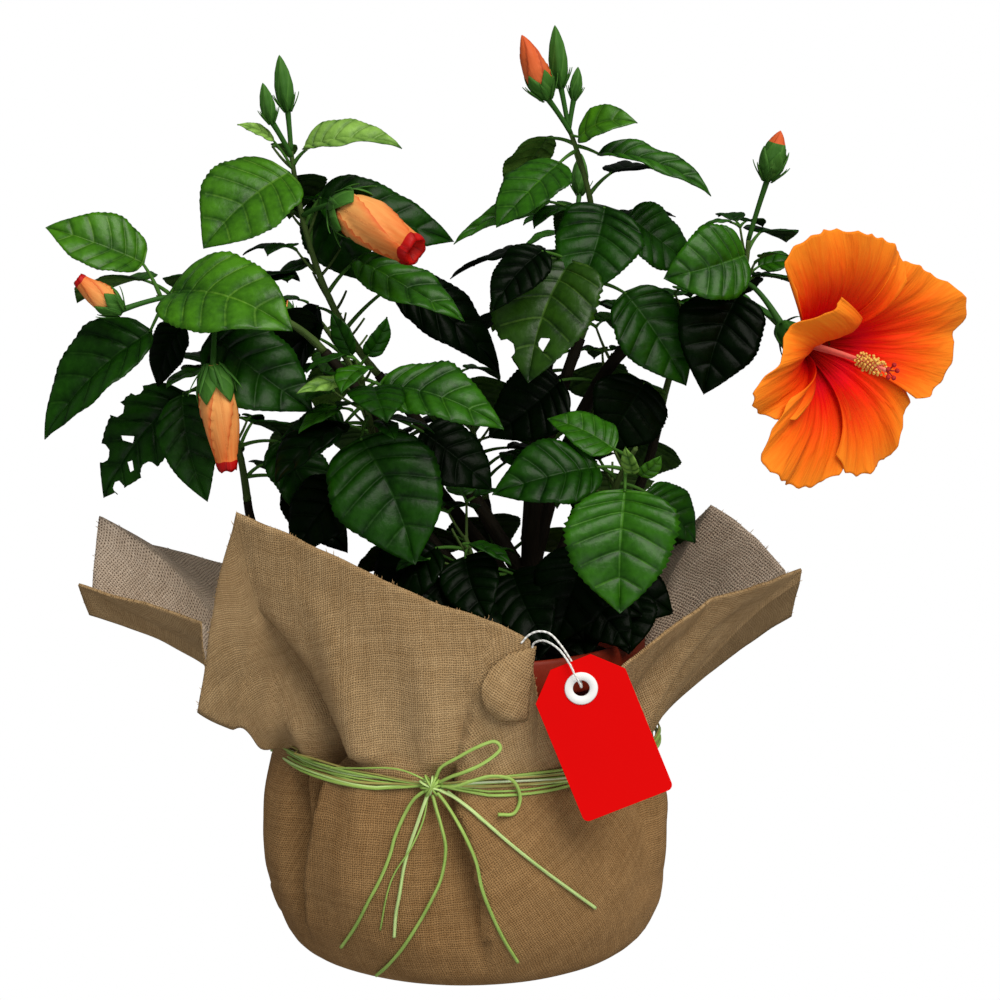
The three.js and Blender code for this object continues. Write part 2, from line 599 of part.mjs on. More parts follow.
// A bud on its stalk: calyx, swelling body and pointed end in one turned outline
function budSolid(root, foot, tip, radius, grow) {
  const stalkEnd = foot.clone().lerp(tip, 0.04);
  const stalk = limbSolid(new THREE.LineCurve3(root, stalkEnd), taper(1.1 + grow, 1.3 + grow, 1), 5);
  const outline = [[0, 0.3], [0.12, 0.8], [0.35, 1], [0.7, 0.85], [0.92, 0.5], [1, 0.1]];
  const radii = outline.map(([share, swell]) => [share, radius * swell + grow]);
  return stalk.add(limbSolid(new THREE.LineCurve3(foot, tip), radii, 6));
}

const twigRadii = taper(twigRadius, twigTipRadius, 4);

function twigCurve(mass) {
  const bough = boughs.find(({ name }) => name === mass.bough);
  const [, bend, end] = bough.path.map((point) => vec(...point));
  const along = end.clone().sub(bend).normalize();
  const start = end.clone().addScaledVector(along, clearance);
  const tip = vec(...mass.tip);
  const middle = start.clone().addScaledVector(along, 0.45 * tip.distanceTo(start));
  return new THREE.QuadraticBezierCurve3(start, middle, tip);
}

// Leaves drawn by the seed, spread along the twig and round it
function fillLeaves(mass, twig) {
  const random = seeded(mass.seed);
  const { leaves, from, to, long } = mass.fill;
  return Array.from({ length: leaves }, (_, k) => {
    const root = twig.getPoint(0.12 + (0.86 * (k + 0.5)) / leaves);
    const direction = (from + (to - from) * ((0.382 * k + 0.3 * random()) % 1)) * degrees;
    const climb = (10 + 40 * random()) * degrees;
    const droop = climb - (35 + 40 * random()) * degrees;
    const heading = (rise) => vec(
      Math.cos(direction) * Math.cos(rise),
      Math.sin(direction) * Math.cos(rise),
      Math.sin(rise),
    );
    const foot = root.clone().addScaledVector(heading(climb), 14 + 10 * random());
    const length = long * (0.8 + 0.4 * random());
    const tip = foot.clone().addScaledVector(heading(droop), length);
    const upper = heading(droop + Math.PI / 2);
    return { root, foot, tip, width: length * 0.68, upper, arch: 0.08, outline: fillOutline };
  });
}

function massSolid(mass) {
  const twig = twigCurve(mass);
  let solid = limbSolid(twig, twigRadii, 4);
  const shown = mass.leaves.map((leaf) => ({
    root: twig.getPoint(leaf.at),
    foot: vec(...leaf.foot),
    tip: vec(...leaf.tip),
    width: leaf.width,
    upper: vec(...leaf.looks),
    arch: leaf.arch ?? 0.05,
    outline: leaf.width < smallLeaf ? smallOutline : bladeOutline,
  }));
  for (const bud of mass.buds) {
    const parts = [twig.getPoint(bud.at), vec(...bud.foot), vec(...bud.tip), bud.radius];
    if (!blocked(budSolid(...parts, clearance))) solid = solid.add(budSolid(...parts, 0));
  }
  for (const leaf of [...shown, ...fillLeaves(mass, twig)]) {
    if (!blocked(leafSolid(leaf, clearance))) solid = solid.add(leafSolid(leaf, 0));
  }
  return mainBody(solid);
}

// Bloom: stalk, calyx, five overlapping petals as one ruffled cup, and the column of stamens
const bloom = {
  root: [145, -8, 352],
  calyx: [162, -20, 330],
  throat: [170, -34, 324],
  faces: [0.6, -0.79, -0.08],
  radius: 67,
  depth: 44,
  wall: 1.2,
  segments: 26,
  lobes: 5,
};

function bloomSolid() {
  const faces = vec(...bloom.faces).normalize();
  const throat = vec(...bloom.throat);
  const right = vec(0, 0, 1).cross(faces).negate().normalize();
  const upward = right.clone().cross(faces).normalize();
  const cup = [[0, 0], [0.13, 0.3], [0.34, 0.72], [0.68, 0.98], [1, 1.05]];
  const inner = cup.map(([r, h]) => [r * bloom.radius, h * bloom.depth]);
  const outer = [...inner].reverse().map(([r, h]) => [Math.max(r, 0), h - 2 * bloom.wall]);
  const geometry = lathe([...inner, ...outer], bloom.segments);
  const place = geometry.attributes.position;
  for (let i = 0; i < place.count; i += 1) {
    const angle = Math.atan2(place.getY(i), place.getX(i));
    const radius = Math.hypot(place.getX(i), place.getY(i));
    const share = radius / bloom.radius;
    const notch = 1 - 0.1 * share * Math.abs(Math.sin((bloom.lobes * angle) / 2 + 0.6)) ** 6;
    const ruffle = 4 * share ** 2 * Math.sin(bloom.lobes * angle + 1) + 1.5 * share ** 2 * Math.sin(13 * angle);
    const spot = throat.clone()
      .addScaledVector(right, Math.cos(angle) * radius * notch)
      .addScaledVector(upward, Math.sin(angle) * radius * notch)
      .addScaledVector(faces, place.getZ(i) + ruffle);
    place.setXYZ(i, spot.x, spot.y, spot.z);
  }
  const stalk = bent(bloom.root, [152, -12, 350], bloom.calyx);
  const cupFoot = throat.clone().addScaledVector(faces, 10);
  const calyx = new THREE.LineCurve3(vec(...bloom.calyx).addScaledVector(faces, -4), cupFoot);
  const columnEnd = throat.clone().addScaledVector(faces, 62).add(vec(8, 0, -4));
  const column = new THREE.LineCurve3(throat, columnEnd);
  return mainBody(solidOf(geometry)
    .add(limbSolid(stalk, taper(1.6, 1.6, 4), 6))
    .add(limbSolid(calyx, [[0, 2], [0.3, 7], [1, 9]], 8))
    .add(limbSolid(column, [[0, 2.5], [0.6, 1.8], [0.75, 4], [0.92, 4], [1, 1]], 7)));
}

// Pieces in the order that they are set, so that each keeps clear of those before it
add('pot', potSolid(), looks.pot);
add('soil', soilSolid(), looks.soil);
add('jute_wrap', wrapSolid(), looks.jute);
add('raffia_band', raffiaBand(), looks.raffia);
for (const [name, points] of Object.entries(raffiaStrands)) {
  const strand = cordSolid(points.map(onCloth), raffiaWidth, 2 * points.length - 4);
  add(name, mainBody(strand.subtract(knotSolid(clearance))), looks.raffia);
}
add('tag', tagSolid(), looks.tag);
add('tag_eyelet', eyeletSolid(), looks.white);
add('tag_string', cordSolid(stringRoute.map((point) => vec(...point)), stringWidth, 20), looks.white);

const stemCurve = bent(...stem.path);
const stemRadii = [[0, stem.flare], [0.1, 9.4], [0.25, stem.base], [0.6, 6.8], [1, stem.tip]];
add('main_stem', limbSolid(stemCurve, stemRadii, 9), looks.bark);
const grown = (radii) => radii.map(([share, radius]) => [share, radius + clearance]);
let cutter = limbSolid(stemCurve, grown(stemRadii), 9);
for (const bough of boughs) {
  const curve = bent(...bough.path);
  const radii = taper(bough.base, bough.tip, 5);
  add(bough.name, mainBody(limbSolid(curve, radii, 6).subtract(cutter)), looks.bark);
  cutter = cutter.add(limbSolid(curve, grown(radii), 6));
}
for (const mass of masses) {
  add(mass.name, massSolid(mass), looks.leaf);
}
const bloomTwig = twigCurve(masses.find(({ name }) => name === 'foliage_right'));
const bloomCut = limbSolid(bloomTwig, grown(twigRadii), 4);
add('bloom', mainBody(bloomSolid().subtract(bloomCut)), looks.bloom);

export default group;
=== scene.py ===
from math import ceil, cos, pi, radians, sin

import bpy
import numpy as np
from mathutils import Matrix, Vector, noise
from mathutils.bvhtree import BVHTree


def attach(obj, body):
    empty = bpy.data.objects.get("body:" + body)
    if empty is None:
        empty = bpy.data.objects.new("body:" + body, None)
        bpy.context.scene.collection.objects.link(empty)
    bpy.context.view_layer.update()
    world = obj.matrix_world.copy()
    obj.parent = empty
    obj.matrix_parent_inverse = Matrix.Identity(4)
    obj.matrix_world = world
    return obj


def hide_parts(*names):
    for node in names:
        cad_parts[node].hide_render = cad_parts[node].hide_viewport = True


# A potted hibiscus in a jute wrap. Tables are in millimetres, as the part's own are, and meshes in metres.
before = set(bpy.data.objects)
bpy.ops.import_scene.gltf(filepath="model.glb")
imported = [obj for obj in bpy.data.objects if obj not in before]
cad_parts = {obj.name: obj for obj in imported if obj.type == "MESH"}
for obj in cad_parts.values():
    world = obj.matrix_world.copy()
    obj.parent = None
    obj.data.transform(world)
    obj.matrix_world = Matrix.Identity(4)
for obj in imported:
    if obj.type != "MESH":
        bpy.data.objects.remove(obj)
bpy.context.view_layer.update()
MM = 0.001
# Noise vectors would change from run to run without a seed
noise.seed_set(7)

# Camera and light
CAMERA_PLACE = (0.018, -1.35, 0.47)
CAMERA_PITCH = 80.2
CAMERA_LENS = 93.6
WORLD_LIGHT = 0.41
WORLD_GLOSS = 0.12

# Sizes: those of the part, and finer ones that only this script has
CLEARANCE = 0.3
POT = dict(rim_radius=95, rim_top=170, rim_height=20, rim_step=3, base_radius=69, wall=3)
WAIST = POT["rim_radius"] - POT["rim_step"] - 4
POT_SIDES = 96
SOIL_TOP = 150
CLOTH_THICKNESS = 2.2
CLOTH_SEEN = 1.5
CLOTH_FOOT = 0.8
FOOT_RADIUS = 88
NECK_RADIUS = 99.5
NECK_HEIGHT = 115
BAND_HEIGHT = 111
RAFFIA_THREAD = 0.88
RAFFIA_LIFT = 2
RAFFIA_GAP = 1.6
KNOT = dict(x=-16, z=111, lift=5.6)
TAG = dict(width=47, length=78, thickness=1, top=14, lean=-22, cut=13, corner=3, bevel=0.1)
EYELET = dict(x=57.7, y=-113, z=163, hole=4.1, tube=5, flange=8.2, depth=1.2)
RING_SIDES = 64
STRING_THREAD = 0.52
TWIG_RADIUS = 2.1
TWIG_TIP_RADIUS = 1.2
TWIG_STEPS = 40
PETIOLE_RADIUS = 0.9
BLADE_FOLD = 0.16
# Directions that no strand or bud runs along, from which the side of each is worked out
TUBE_UP = (0.31, 0.9, 0.29)
BUD_UP = (0.3, 0.2, 0.93)


def mm(*values):
    """Millimetres as a vector in metres."""
    return Vector(values) * MM


def linear(red, green, blue):
    """A colour as a screen shows it, from 0 to 255, as the shader wants it."""
    return tuple((part / 255) ** 2.2 for part in (red, green, blue)) + (1.0,)


class Draw:
    """Even numbers from 0 to 1 by the same rule as the part's own foliage."""

    def __init__(self, seed):
        self.state = seed

    def __call__(self):
        self.state = (self.state * 1664525 + 1013904223) % 4294967296
        return self.state / 4294967296


# Camera first
bpy.ops.object.camera_add(location=CAMERA_PLACE, rotation=(radians(CAMERA_PITCH), 0, 0))
camera = bpy.context.object
camera.data.lens = CAMERA_LENS
bpy.context.scene.camera = camera


# Shader nodes
class Wire:
    """A socket or a number, whose sums and products add Math nodes."""

    def __init__(self, finish, socket):
        self.finish = finish
        self.socket = socket

    def math(self, operation, *others, swap=False):
        values = [self, *others]
        if swap:
            values.reverse()
        inputs = {place: value for place, value in enumerate(values)}
        return self.finish.node("ShaderNodeMath", inputs, operation=operation)

    def __add__(self, other):
        return self.math("ADD", other)

    def __sub__(self, other):
        return self.math("SUBTRACT", other)

    def __rsub__(self, other):
        return self.math("SUBTRACT", other, swap=True)

    def __mul__(self, other):
        return self.math("MULTIPLY", other)

    def __truediv__(self, other):
        return self.math("DIVIDE", other)

    def __pow__(self, other):
        return self.math("POWER", other)

    __radd__ = __add__
    __rmul__ = __mul__

    def clamp(self):
        return self.math("MAXIMUM", 0.0).math("MINIMUM", 1.0)

    def wave(self):
        return self.math("SINE")

    def size(self):
        return self.math("ABSOLUTE")


class Finish:
    """One material, with the nodes that colour and roughen it."""

    def __init__(self, name, roughness=0.5, **sockets):
        self.material = bpy.data.materials.new(name)
        self.material.use_nodes = True
        self.tree = self.material.node_tree
        self.shader = self.tree.nodes["Principled BSDF"]
        self.shader.inputs["Roughness"].default_value = roughness
        for socket, value in sockets.items():
            self.shader.inputs[socket.replace("_", " ")].default_value = value

    def node(self, kind, inputs=None, output=0, stops=None, **settings):
        node = self.tree.nodes.new(kind)
        for name, value in settings.items():
            setattr(node, name, value)
        if stops:
            ramp = node.color_ramp.elements
            while len(ramp) < len(stops):
                ramp.new(0.5)
            for element, (place, color) in zip(ramp, stops):
                element.position = place
                element.color = color
        for place, value in (inputs or {}).items():
            if isinstance(value, Wire):
                self.tree.links.new(value.socket, node.inputs[place])
            else:
                node.inputs[place].default_value = value
        return Wire(self, node.outputs[output])

    def place(self, coordinates="Object"):
        """Object coordinates, or the piece's own UV map."""
        return self.node("ShaderNodeTexCoord", output=coordinates)

    def scaled(self, size, coordinates="Object"):
        return self.node("ShaderNodeMapping", {"Vector": self.place(coordinates), "Scale": size})

    def parts(self, vector):
        first = self.node("ShaderNodeSeparateXYZ", {"Vector": vector})
        return [Wire(self, output) for output in first.socket.node.outputs]

    def noise(self, scale, detail=2.0, vector=None, roughness=0.5):
        inputs = {"Scale": scale, "Detail": detail, "Roughness": roughness}
        inputs["Vector"] = vector or self.place()
        return self.node("ShaderNodeTexNoise", inputs)

    def ramp(self, value, *stops):
        return self.node("ShaderNodeValToRGB", {"Fac": value}, stops=stops)

    def mix(self, share, first, second, blend="MIX"):
        node = self.tree.nodes.new("ShaderNodeMix")
        node.data_type = "RGBA"
        node.blend_type = blend
        for place, value in ((0, share), (6, first), (7, second)):
            if isinstance(value, Wire):
                self.tree.links.new(value.socket, node.inputs[place])
            else:
                node.inputs[place].default_value = value
        return Wire(self, node.outputs[2])

    def wear(self, color=None, roughness=None, height=None, strength=0.5, distance=0.001):
        """Links what changes over the surface: colour, roughness and relief."""
        if color is not None:
            if isinstance(color, Wire):
                self.tree.links.new(color.socket, self.shader.inputs["Base Color"])
            else:
                self.shader.inputs["Base Color"].default_value = color
        if roughness is not None:
            self.tree.links.new(roughness.socket, self.shader.inputs["Roughness"])
        if height is not None:
            inputs = {"Height": height, "Strength": strength, "Distance": distance}
            bump = self.node("ShaderNodeBump", inputs)
            self.tree.links.new(bump.socket, self.shader.inputs["Normal"])
        return self


# Shapes in code
class Shape:
    """Corners and faces that are gathered and then made into one piece."""

    def __init__(self):
        self.corners = []
        self.faces = []
        self.slots = []
        self.flat = []

    def add(self, corners, faces, slots=0, flat=None):
        first = len(self.corners)
        self.corners.extend(tuple(corner) for corner in corners)
        self.faces.extend(tuple(first + corner for corner in face) for face in faces)
        self.slots.extend([slots] * len(faces) if isinstance(slots, int) else slots)
        self.flat.extend(flat if flat is not None else [(0.0, 0.0)] * len(corners))

    def make(self, name, *finishes):
        mesh = bpy.data.meshes.new(name)
        mesh.from_pydata(self.corners, [], self.faces)
        for finish in finishes:
            mesh.materials.append(finish.material)
        mesh.polygons.foreach_set("material_index", self.slots)
        mesh.polygons.foreach_set("use_smooth", [True] * len(self.faces))
        layer = mesh.uv_layers.new(name="flat")
        loops = np.empty(len(mesh.loops), dtype=np.int32)
        mesh.loops.foreach_get("vertex_index", loops)
        layer.data.foreach_set("uv", np.asarray(self.flat, dtype=np.float32)[loops].ravel())
        piece = bpy.data.objects.new(name, mesh)
        bpy.context.scene.collection.objects.link(piece)
        return piece


def settle(piece, slot, *nodes):
    """Says what a finished piece rides on and stands for; what it is made of is given but not used."""
    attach(piece, "root")
    if nodes:
        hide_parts(*nodes)
    return piece


def choose(piece):
    bpy.ops.object.select_all(action="DESELECT")
    piece.select_set(True)
    bpy.context.view_layer.objects.active = piece


def modify(piece, kind, **settings):
    """Adds a modifier and applies it."""
    choose(piece)
    modifier = piece.modifiers.new(kind.lower(), kind)
    for name, value in settings.items():
        setattr(modifier, name, value)
    bpy.ops.object.modifier_apply(modifier=modifier.name)
    return piece


def face_outward(piece):
    """Turns all faces of a closed piece outwards."""
    choose(piece)
    bpy.ops.object.mode_set(mode="EDIT")
    bpy.ops.mesh.select_all(action="SELECT")
    bpy.ops.mesh.normals_make_consistent(inside=False)
    bpy.ops.object.mode_set(mode="OBJECT")


def bend(path, share):
    """A point on the curve through a start, a bend and an end."""
    start, middle, end = (Vector(point) for point in path)
    return start * (1 - share) ** 2 + middle * (2 * share * (1 - share)) + end * share ** 2


def bend_line(path, steps):
    return [bend(path, step / steps) for step in range(steps + 1)]


def taper(base, tip, steps):
    """Radii in metres that run evenly from the base to the tip."""
    return [(base + (tip - base) * step / steps) * MM for step in range(steps + 1)]


def angles(count, start=0.0):
    """Angles of even steps round a ring."""
    return [2 * pi * step / count + start for step in range(count)]


def spoke(first, second, angle):
    """The direction at an angle from the first of two directions to the second."""
    return first * cos(angle) + second * sin(angle)


def stand(foot, tip, upper):
    """Length, axis, upper side and width of what stands on its foot."""
    axis = tip - foot
    long = axis.length
    axis.normalize()
    up = (upper - axis * upper.dot(axis)).normalized()
    return long, axis, up, axis.cross(up)


def grid(rows, columns, closed=False):
    """Faces between rows of corners, each row open or closed to a ring."""
    faces = []
    for row in range(rows - 1):
        for column in range(columns if closed else columns - 1):
            a = row * columns + column
            b = row * columns + (column + 1) % columns
            faces.append((a, b, b + columns, a + columns))
    return faces


def capped(rings, sides):
    """Faces of a round body, with a cap on each end."""
    foot = tuple(range(sides - 1, -1, -1))
    end = tuple((rings - 1) * sides + side for side in range(sides))
    return grid(rings, sides, closed=True) + [foot, end]


def smooth_route(points, steps):
    """Even steps on the smooth curve through points, as the part draws its cords."""
    points = [Vector(point) for point in points]
    padded = [2 * points[0] - points[1], *points, 2 * points[-1] - points[-2]]
    line = []
    for step in range(steps + 1):
        whole = step / steps * (len(points) - 1)
        index = min(int(whole), len(points) - 2)
        t = whole - index
        a, b, c, d = padded[index:index + 4]
        swing = (2 * a - 5 * b + 4 * c - d) * t ** 2 + (3 * b - a - 3 * c + d) * t ** 3
        line.append(b + ((c - a) * t + swing) * 0.5)
    return line


def tube(shape, line, radii, sides, slot=0, relief=None, flatten=1.0):
    """A closed tube along a line. Its flat map runs round it and along it, in metres."""
    line = [Vector(point) for point in line]
    last = len(line) - 1
    up = Vector(TUBE_UP)
    corners, flat, along = [], [], 0.0
    for index, spot in enumerate(line):
        tangent = (line[min(index + 1, last)] - line[max(index - 1, 0)]).normalized()
        up = (up - tangent * up.dot(tangent)).normalized()
        across = tangent.cross(up)
        radius = radii[index] if hasattr(radii, "__len__") else radii
        if index:
            along += (spot - line[index - 1]).length
        for angle in angles(sides):
            reach = radius * (1 + (relief(along, angle) if relief else 0.0))
            corners.append(spot + across * (reach * cos(angle)) + up * (reach * flatten * sin(angle)))
            flat.append((radius * angle, along))
    shape.add(corners, capped(last + 1, sides), slot, flat)
    return along


# Cloth of the wrap: direction, reach, height and bow of its rim, as in the part
CLOTH_RIM = [
    [1.7, 169, 198, -14], [9, 159, 210, -14], [15.5, 150, 219, -12], [20.6, 142, 226, -10],
    [31, 136, 202, -8], [45, 118, 184, -4], [62, 109, 176, -2], [80, 104, 171, 0],
    [105, 103, 171, 0], [130, 112, 178, -4], [148, 128, 186, -8], [159.5, 143, 193, -12],
    [170, 173, 206, -18], [177, 194, 226, -20], [181.8, 199, 178, -14], [184.6, 203, 195, -12],
    [189.5, 170, 188, -8], [194.3, 141, 178, -4], [201, 142, 152, 0], [207, 153, 140, 6],
    [210, 145, 191, 6], [213.3, 136, 244, 2], [226.4, 117, 231, 2], [239.6, 107, 221, 2],
    [252, 101, 209, 1], [265, 99, 201, 0], [280, 100.5, 192, 0], [288.5, 104, 183, 1],
    [291, 105, 150, 1], [294, 108.5, 144, 2], [299, 112, 143, 2], [305, 116, 146, 0], [311.6, 120, 169, -2],
    [322, 127, 184, -6], [334, 139, 197, -10], [344, 158, 201, -12], [352.9, 177, 204, -12],
    [356.7, 172, 177, -8],
]
# Outside of the cloth below the tie: radius and height
CLOTH_BODY = [
    [0, CLOTH_FOOT], [60, CLOTH_FOOT], [FOOT_RADIUS, CLOTH_FOOT],
    [97, 8], [104.5, 28], [107.5, 56], [105.5, 84], [100.2, 106],
]


def cloth_radius(z):
    """Radius of the cloth's outside below the tie."""
    line = CLOTH_BODY[2:] + [[NECK_RADIUS, NECK_HEIGHT]]
    heights = [height for _, height in line]
    return float(np.interp(z, heights, [radius for radius, _ in line])) + CLOTH_THICKNESS / 2


def on_cloth(x, z, lift=RAFFIA_LIFT):
    """A place on the front of the cloth, seen from the front, lifted clear of it."""
    radius = cloth_radius(z) + lift
    return mm(x, -((radius ** 2 - x ** 2) ** 0.5), z)


# Folds of the cloth below the tie: direction, half width, depth, top, bottom, and slant to the bottom
BODY_FOLDS = [
    [199, 7, 6, 122, 20, 0], [212.5, 2.4, -15, 124, 40, 2], [216.5, 2.6, 4, 122, 22, 1],
    [241, 6, 4, 116, 14, -6], [254, 8, 2, 112, 12, 0], [263.5, 4, -5, 104, 10, 4],
    [290, 8, 3, 118, 16, 0], [309, 7, -3, 116, 50, 7], [330, 6, -5, 116, 36, 4], [345, 5, 4, 116, 40, 0],
    [186, 4, -7, 118, 30, 2], [168, 6, -6, 118, 40, -3], [156, 5, 4, 116, 30, 0], [140, 5, -7, 116, 26, 4],
    [118, 7, 4, 116, 26, 0], [104, 4, -8, 118, 36, 3], [76, 6, -6, 118, 30, -4], [66, 5, 4, 118, 40, 0],
    [54, 4, -8, 118, 32, 3], [38, 7, 4, 118, 26, 0], [20, 4.5, -8, 118, 32, -3], [3, 5, -7, 118, 36, 2],
]
# Folds of the collar: direction at the tie and at the rim, half width, depth, start and end share
COLLAR_FOLDS = [
    [199, 190, 7, 5, 0.0, 0.4], [230, 196, 5, -22, 0.0, 0.62], [219, 180, 5, 6, 0.0, 0.5],
    [240, 226, 6, 5, 0.05, 0.8], [252, 246, 6, -2.5, 0.05, 0.9], [262, 258, 5, 2.5, 0.05, 0.9],
    [318, 332, 5, -7, 0.0, 0.85], [327, 343, 5, 5, 0.05, 0.95], [338, 350, 4, -6, 0.0, 0.9],
    [188, 186, 4, -6, 0.0, 0.8], [166, 176, 5, -6, 0.0, 0.9], [152, 158, 5, 4, 0.0, 0.9],
    [140, 136, 5, -7, 0.0, 0.8], [112, 108, 6, -6, 0.0, 0.8], [76, 72, 5, -5, 0.0, 0.8],
    [54, 52, 5, -6, 0.0, 0.8], [34, 30, 5, 4, 0.0, 0.8], [20, 14, 4, -7, 0.0, 0.9], [3, 6, 4, -5, 0.0, 0.9],
]
# Edges where one layer lies over another: height with direction, height with strength, lift, groove, the
# groove's width, and how soon the lift fades
FRONT_LAP = dict(
    line=[(20, 277), (50, 275.2), (106, 267.3), (115, 268), (134, 270), (162, 273.7), (180, 275)],
    strength=[(14, 0), (40, 0.8), (60, 1), (110, 1), (122, 0.4), (150, 0.3), (168, 0)],
    lift=3.4, groove=11, width=6, decay=16,
)
PLEAT_LAP = dict(
    line=[(20, 219), (52, 221.5), (90, 224.6), (115, 227.1), (150, 226)],
    strength=[(14, 0), (40, 0.5), (66, 0.9), (80, 1), (118, 1), (132, 0)],
    lift=3, groove=19, width=7, decay=14,
)
BACK_LAP = dict(
    line=[(0, 90), (240, 86)], strength=[(4, 0), (20, 1), (240, 1)],
    lift=2.4, groove=0.8, width=5, decay=24,
)
LAP_REACH = 90
# Panels of the cloth between its sharpest folds: start, middle and end direction
PANELS = [[30, 45, 60], [60, 90, 120], [120, 135, 150], [150, 165, 181.9], [181.9, 188, 203], [203, 236, 277],
          [277, 300, 312], [312, 332, 353.5], [353.5, 6, 30]]
# The weave's turn right of the front edge, and how far round it reaches
RIGHT_TURN = radians(-34)
RIGHT_PART = 60
FRONT = 270
RIM_STEP = 2.4
BODY_STEP = 3.4
COLLAR_ROWS = 34
# The front panel's rim, which is eased by so many rounds
FRONT_PANEL = (217, 286)
EASE_ROUNDS = 24
# Columns on each side over which the flat map is evened out
MAP_SPAN = 10


def bump_shape(offset, half_width):
    return np.exp(-((offset / half_width) ** 2))


def turned(difference):
    """A difference of directions, brought between -180 and 180."""
    return (difference + 180) % 360 - 180


def cloth_directions():
    """Directions round the rim, close enough for steps of about RIM_STEP along it."""
    rows = np.array(CLOTH_RIM, dtype=float)
    rows = np.vstack([rows, rows[0] + [360, 0, 0, 0]])
    angle = np.radians(rows[:, 0])
    spots = np.stack([rows[:, 1] * np.cos(angle), rows[:, 1] * np.sin(angle), rows[:, 2]], axis=1)
    found = []
    for first, second, a, b in zip(rows, rows[1:], spots, spots[1:]):
        count = max(1, ceil(np.linalg.norm(b - a) / RIM_STEP))
        found.extend(first[0] + (second[0] - first[0]) * np.arange(count) / count)
    return np.array(found)


def eased(values, directions):
    """The same values without kinks along the front panel."""
    panel = (directions > FRONT_PANEL[0]) & (directions < FRONT_PANEL[1])
    for _ in range(EASE_ROUNDS):
        mean = values * 0.5 + (np.roll(values, 1) + np.roll(values, -1)) * 0.25
        values = np.where(panel, mean, values)
    return values


def cloth_body(directions):
    """Radius and height of each level below the tie, with the body's folds."""
    body = np.array(CLOTH_BODY, dtype=float)
    run = np.concatenate([[0], np.cumsum(np.linalg.norm(np.diff(body, axis=0), axis=1))])
    steps = np.linspace(0, run[-1], int(run[-1] / BODY_STEP))
    lines = [np.interp(steps, run, body[:, column]) for column in (0, 1)]
    for line in lines * 3:
        line[1:-1] = line[1:-1] * 0.5 + (line[:-2] + line[2:]) * 0.25
    r, z = (np.tile(line, (len(directions), 1)) for line in lines)
    for direction, half_width, depth, top, bottom, slant in BODY_FOLDS:
        share = np.clip((top - z) / (top - bottom), 0, 1)
        offset = turned(directions[:, None] - direction - slant * share)
        fade = np.where(z > 1, np.sqrt(np.clip(1 - share, 0, 1)), 0)
        r += depth * fade * bump_shape(offset, half_width * (1 + 0.7 * share))
    return r, z


def cloth_collar(directions):
    """Radius and height of each level from the tie out to the rim, with the collar's folds."""
    rim = np.array(CLOTH_RIM, dtype=float)
    drawn = (np.interp(directions, rim[:, 0], rim[:, column], period=360) for column in (1, 2, 3))
    reach, height, bow = (eased(line, directions)[:, None] for line in drawn)
    share = np.linspace(0, 1, COLLAR_ROWS + 1)[None, :]
    rise, away = height - NECK_HEIGHT, reach - NECK_RADIUS
    long = np.hypot(rise, away)
    knee_r = (NECK_RADIUS + reach) / 2 + bow * rise / long
    knee_z = (NECK_HEIGHT + height) / 2 - bow * away / long
    first, second, third = (1 - share) ** 2, 2 * share * (1 - share), share ** 2
    r = first * NECK_RADIUS + second * knee_r + third * reach
    z = first * NECK_HEIGHT + second * knee_z + third * height
    for at_neck, at_rim, half_width, depth, start, end in COLLAR_FOLDS:
        offset = turned(directions[:, None] - at_neck - turned(at_rim - at_neck) * share)
        middle = np.clip((share - start) / (end - start), 0, 1)
        fade = np.where(share <= start, 1 if start == 0 else 0, np.sin(np.pi * (0.35 + 0.65 * middle)))
        push = depth * np.clip(fade, 0, 1) * bump_shape(offset, half_width)
        r += push * np.where(rise > 0, rise / long, 0.4)
        z -= push * away / long
    return r, z


def cloth_points():
    """The cloth's middle surface as an array of directions by levels, and the directions."""
    directions = cloth_directions()
    r, z = (np.hstack(part) for part in zip(cloth_body(directions), cloth_collar(directions)))
    for lap in (FRONT_LAP, PLEAT_LAP, BACK_LAP):
        offset = lap_offset(lap, directions[:, None], z)
        strength = np.interp(z, *zip(*lap["strength"]))
        over = lap["lift"] * np.exp(-np.clip(offset, 0, None) / lap["decay"])
        under = -lap["groove"] * bump_shape(offset, lap["width"])
        r += strength * np.where(offset > 0, over, under) * (abs(offset) < LAP_REACH)
    angle = np.radians(directions)[:, None]
    return np.stack([r * np.cos(angle), r * np.sin(angle), z], axis=2), directions


def lap_offset(lap, directions, z):
    """How far, in degrees, a place lies beyond the edge of the upper layer."""
    return turned(directions - np.interp(z, *zip(*lap["line"])))


def cloth_reach(direction, z, beside):
    """Radius of the cloth at a height, the largest of the columns that lie side by side there."""
    column = int(np.argmin(abs(turned(cloth_columns - direction))))
    near = cloth_middle[max(0, column - beside):column + beside + 1]
    return max(np.interp(z, line[:, 2], np.hypot(line[:, 0], line[:, 1])) for line in near)


def crumple(points):
    """Small soft dents, none at the foot."""
    for row in points:
        for spot in row:
            amount = min(max(spot[2] / 25, 0), 1)
            broad = noise.noise_vector(Vector(spot) * 0.021) * 2.0
            fine = noise.noise_vector(Vector(spot) * 0.07) * 0.7
            spot += amount * np.array(broad + fine) * 0.9
    return points


cloth_middle, cloth_columns = cloth_points()
crumple(cloth_middle)


# Raffia and string finishes
def raffia_finish(name, light, dark):
    finish = Finish(name, 0.55)
    fibres = finish.noise(1.0, 3.0, finish.scaled((2600, 90, 1), "UV"))
    patches = finish.noise(38.0, 2.0)
    color = finish.mix((fibres * 0.75 + patches * 0.45 - 0.1).clamp(), linear(*dark), linear(*light))
    return finish.wear(color, fibres * 0.25 + 0.42, fibres, 0.7, 0.0006)


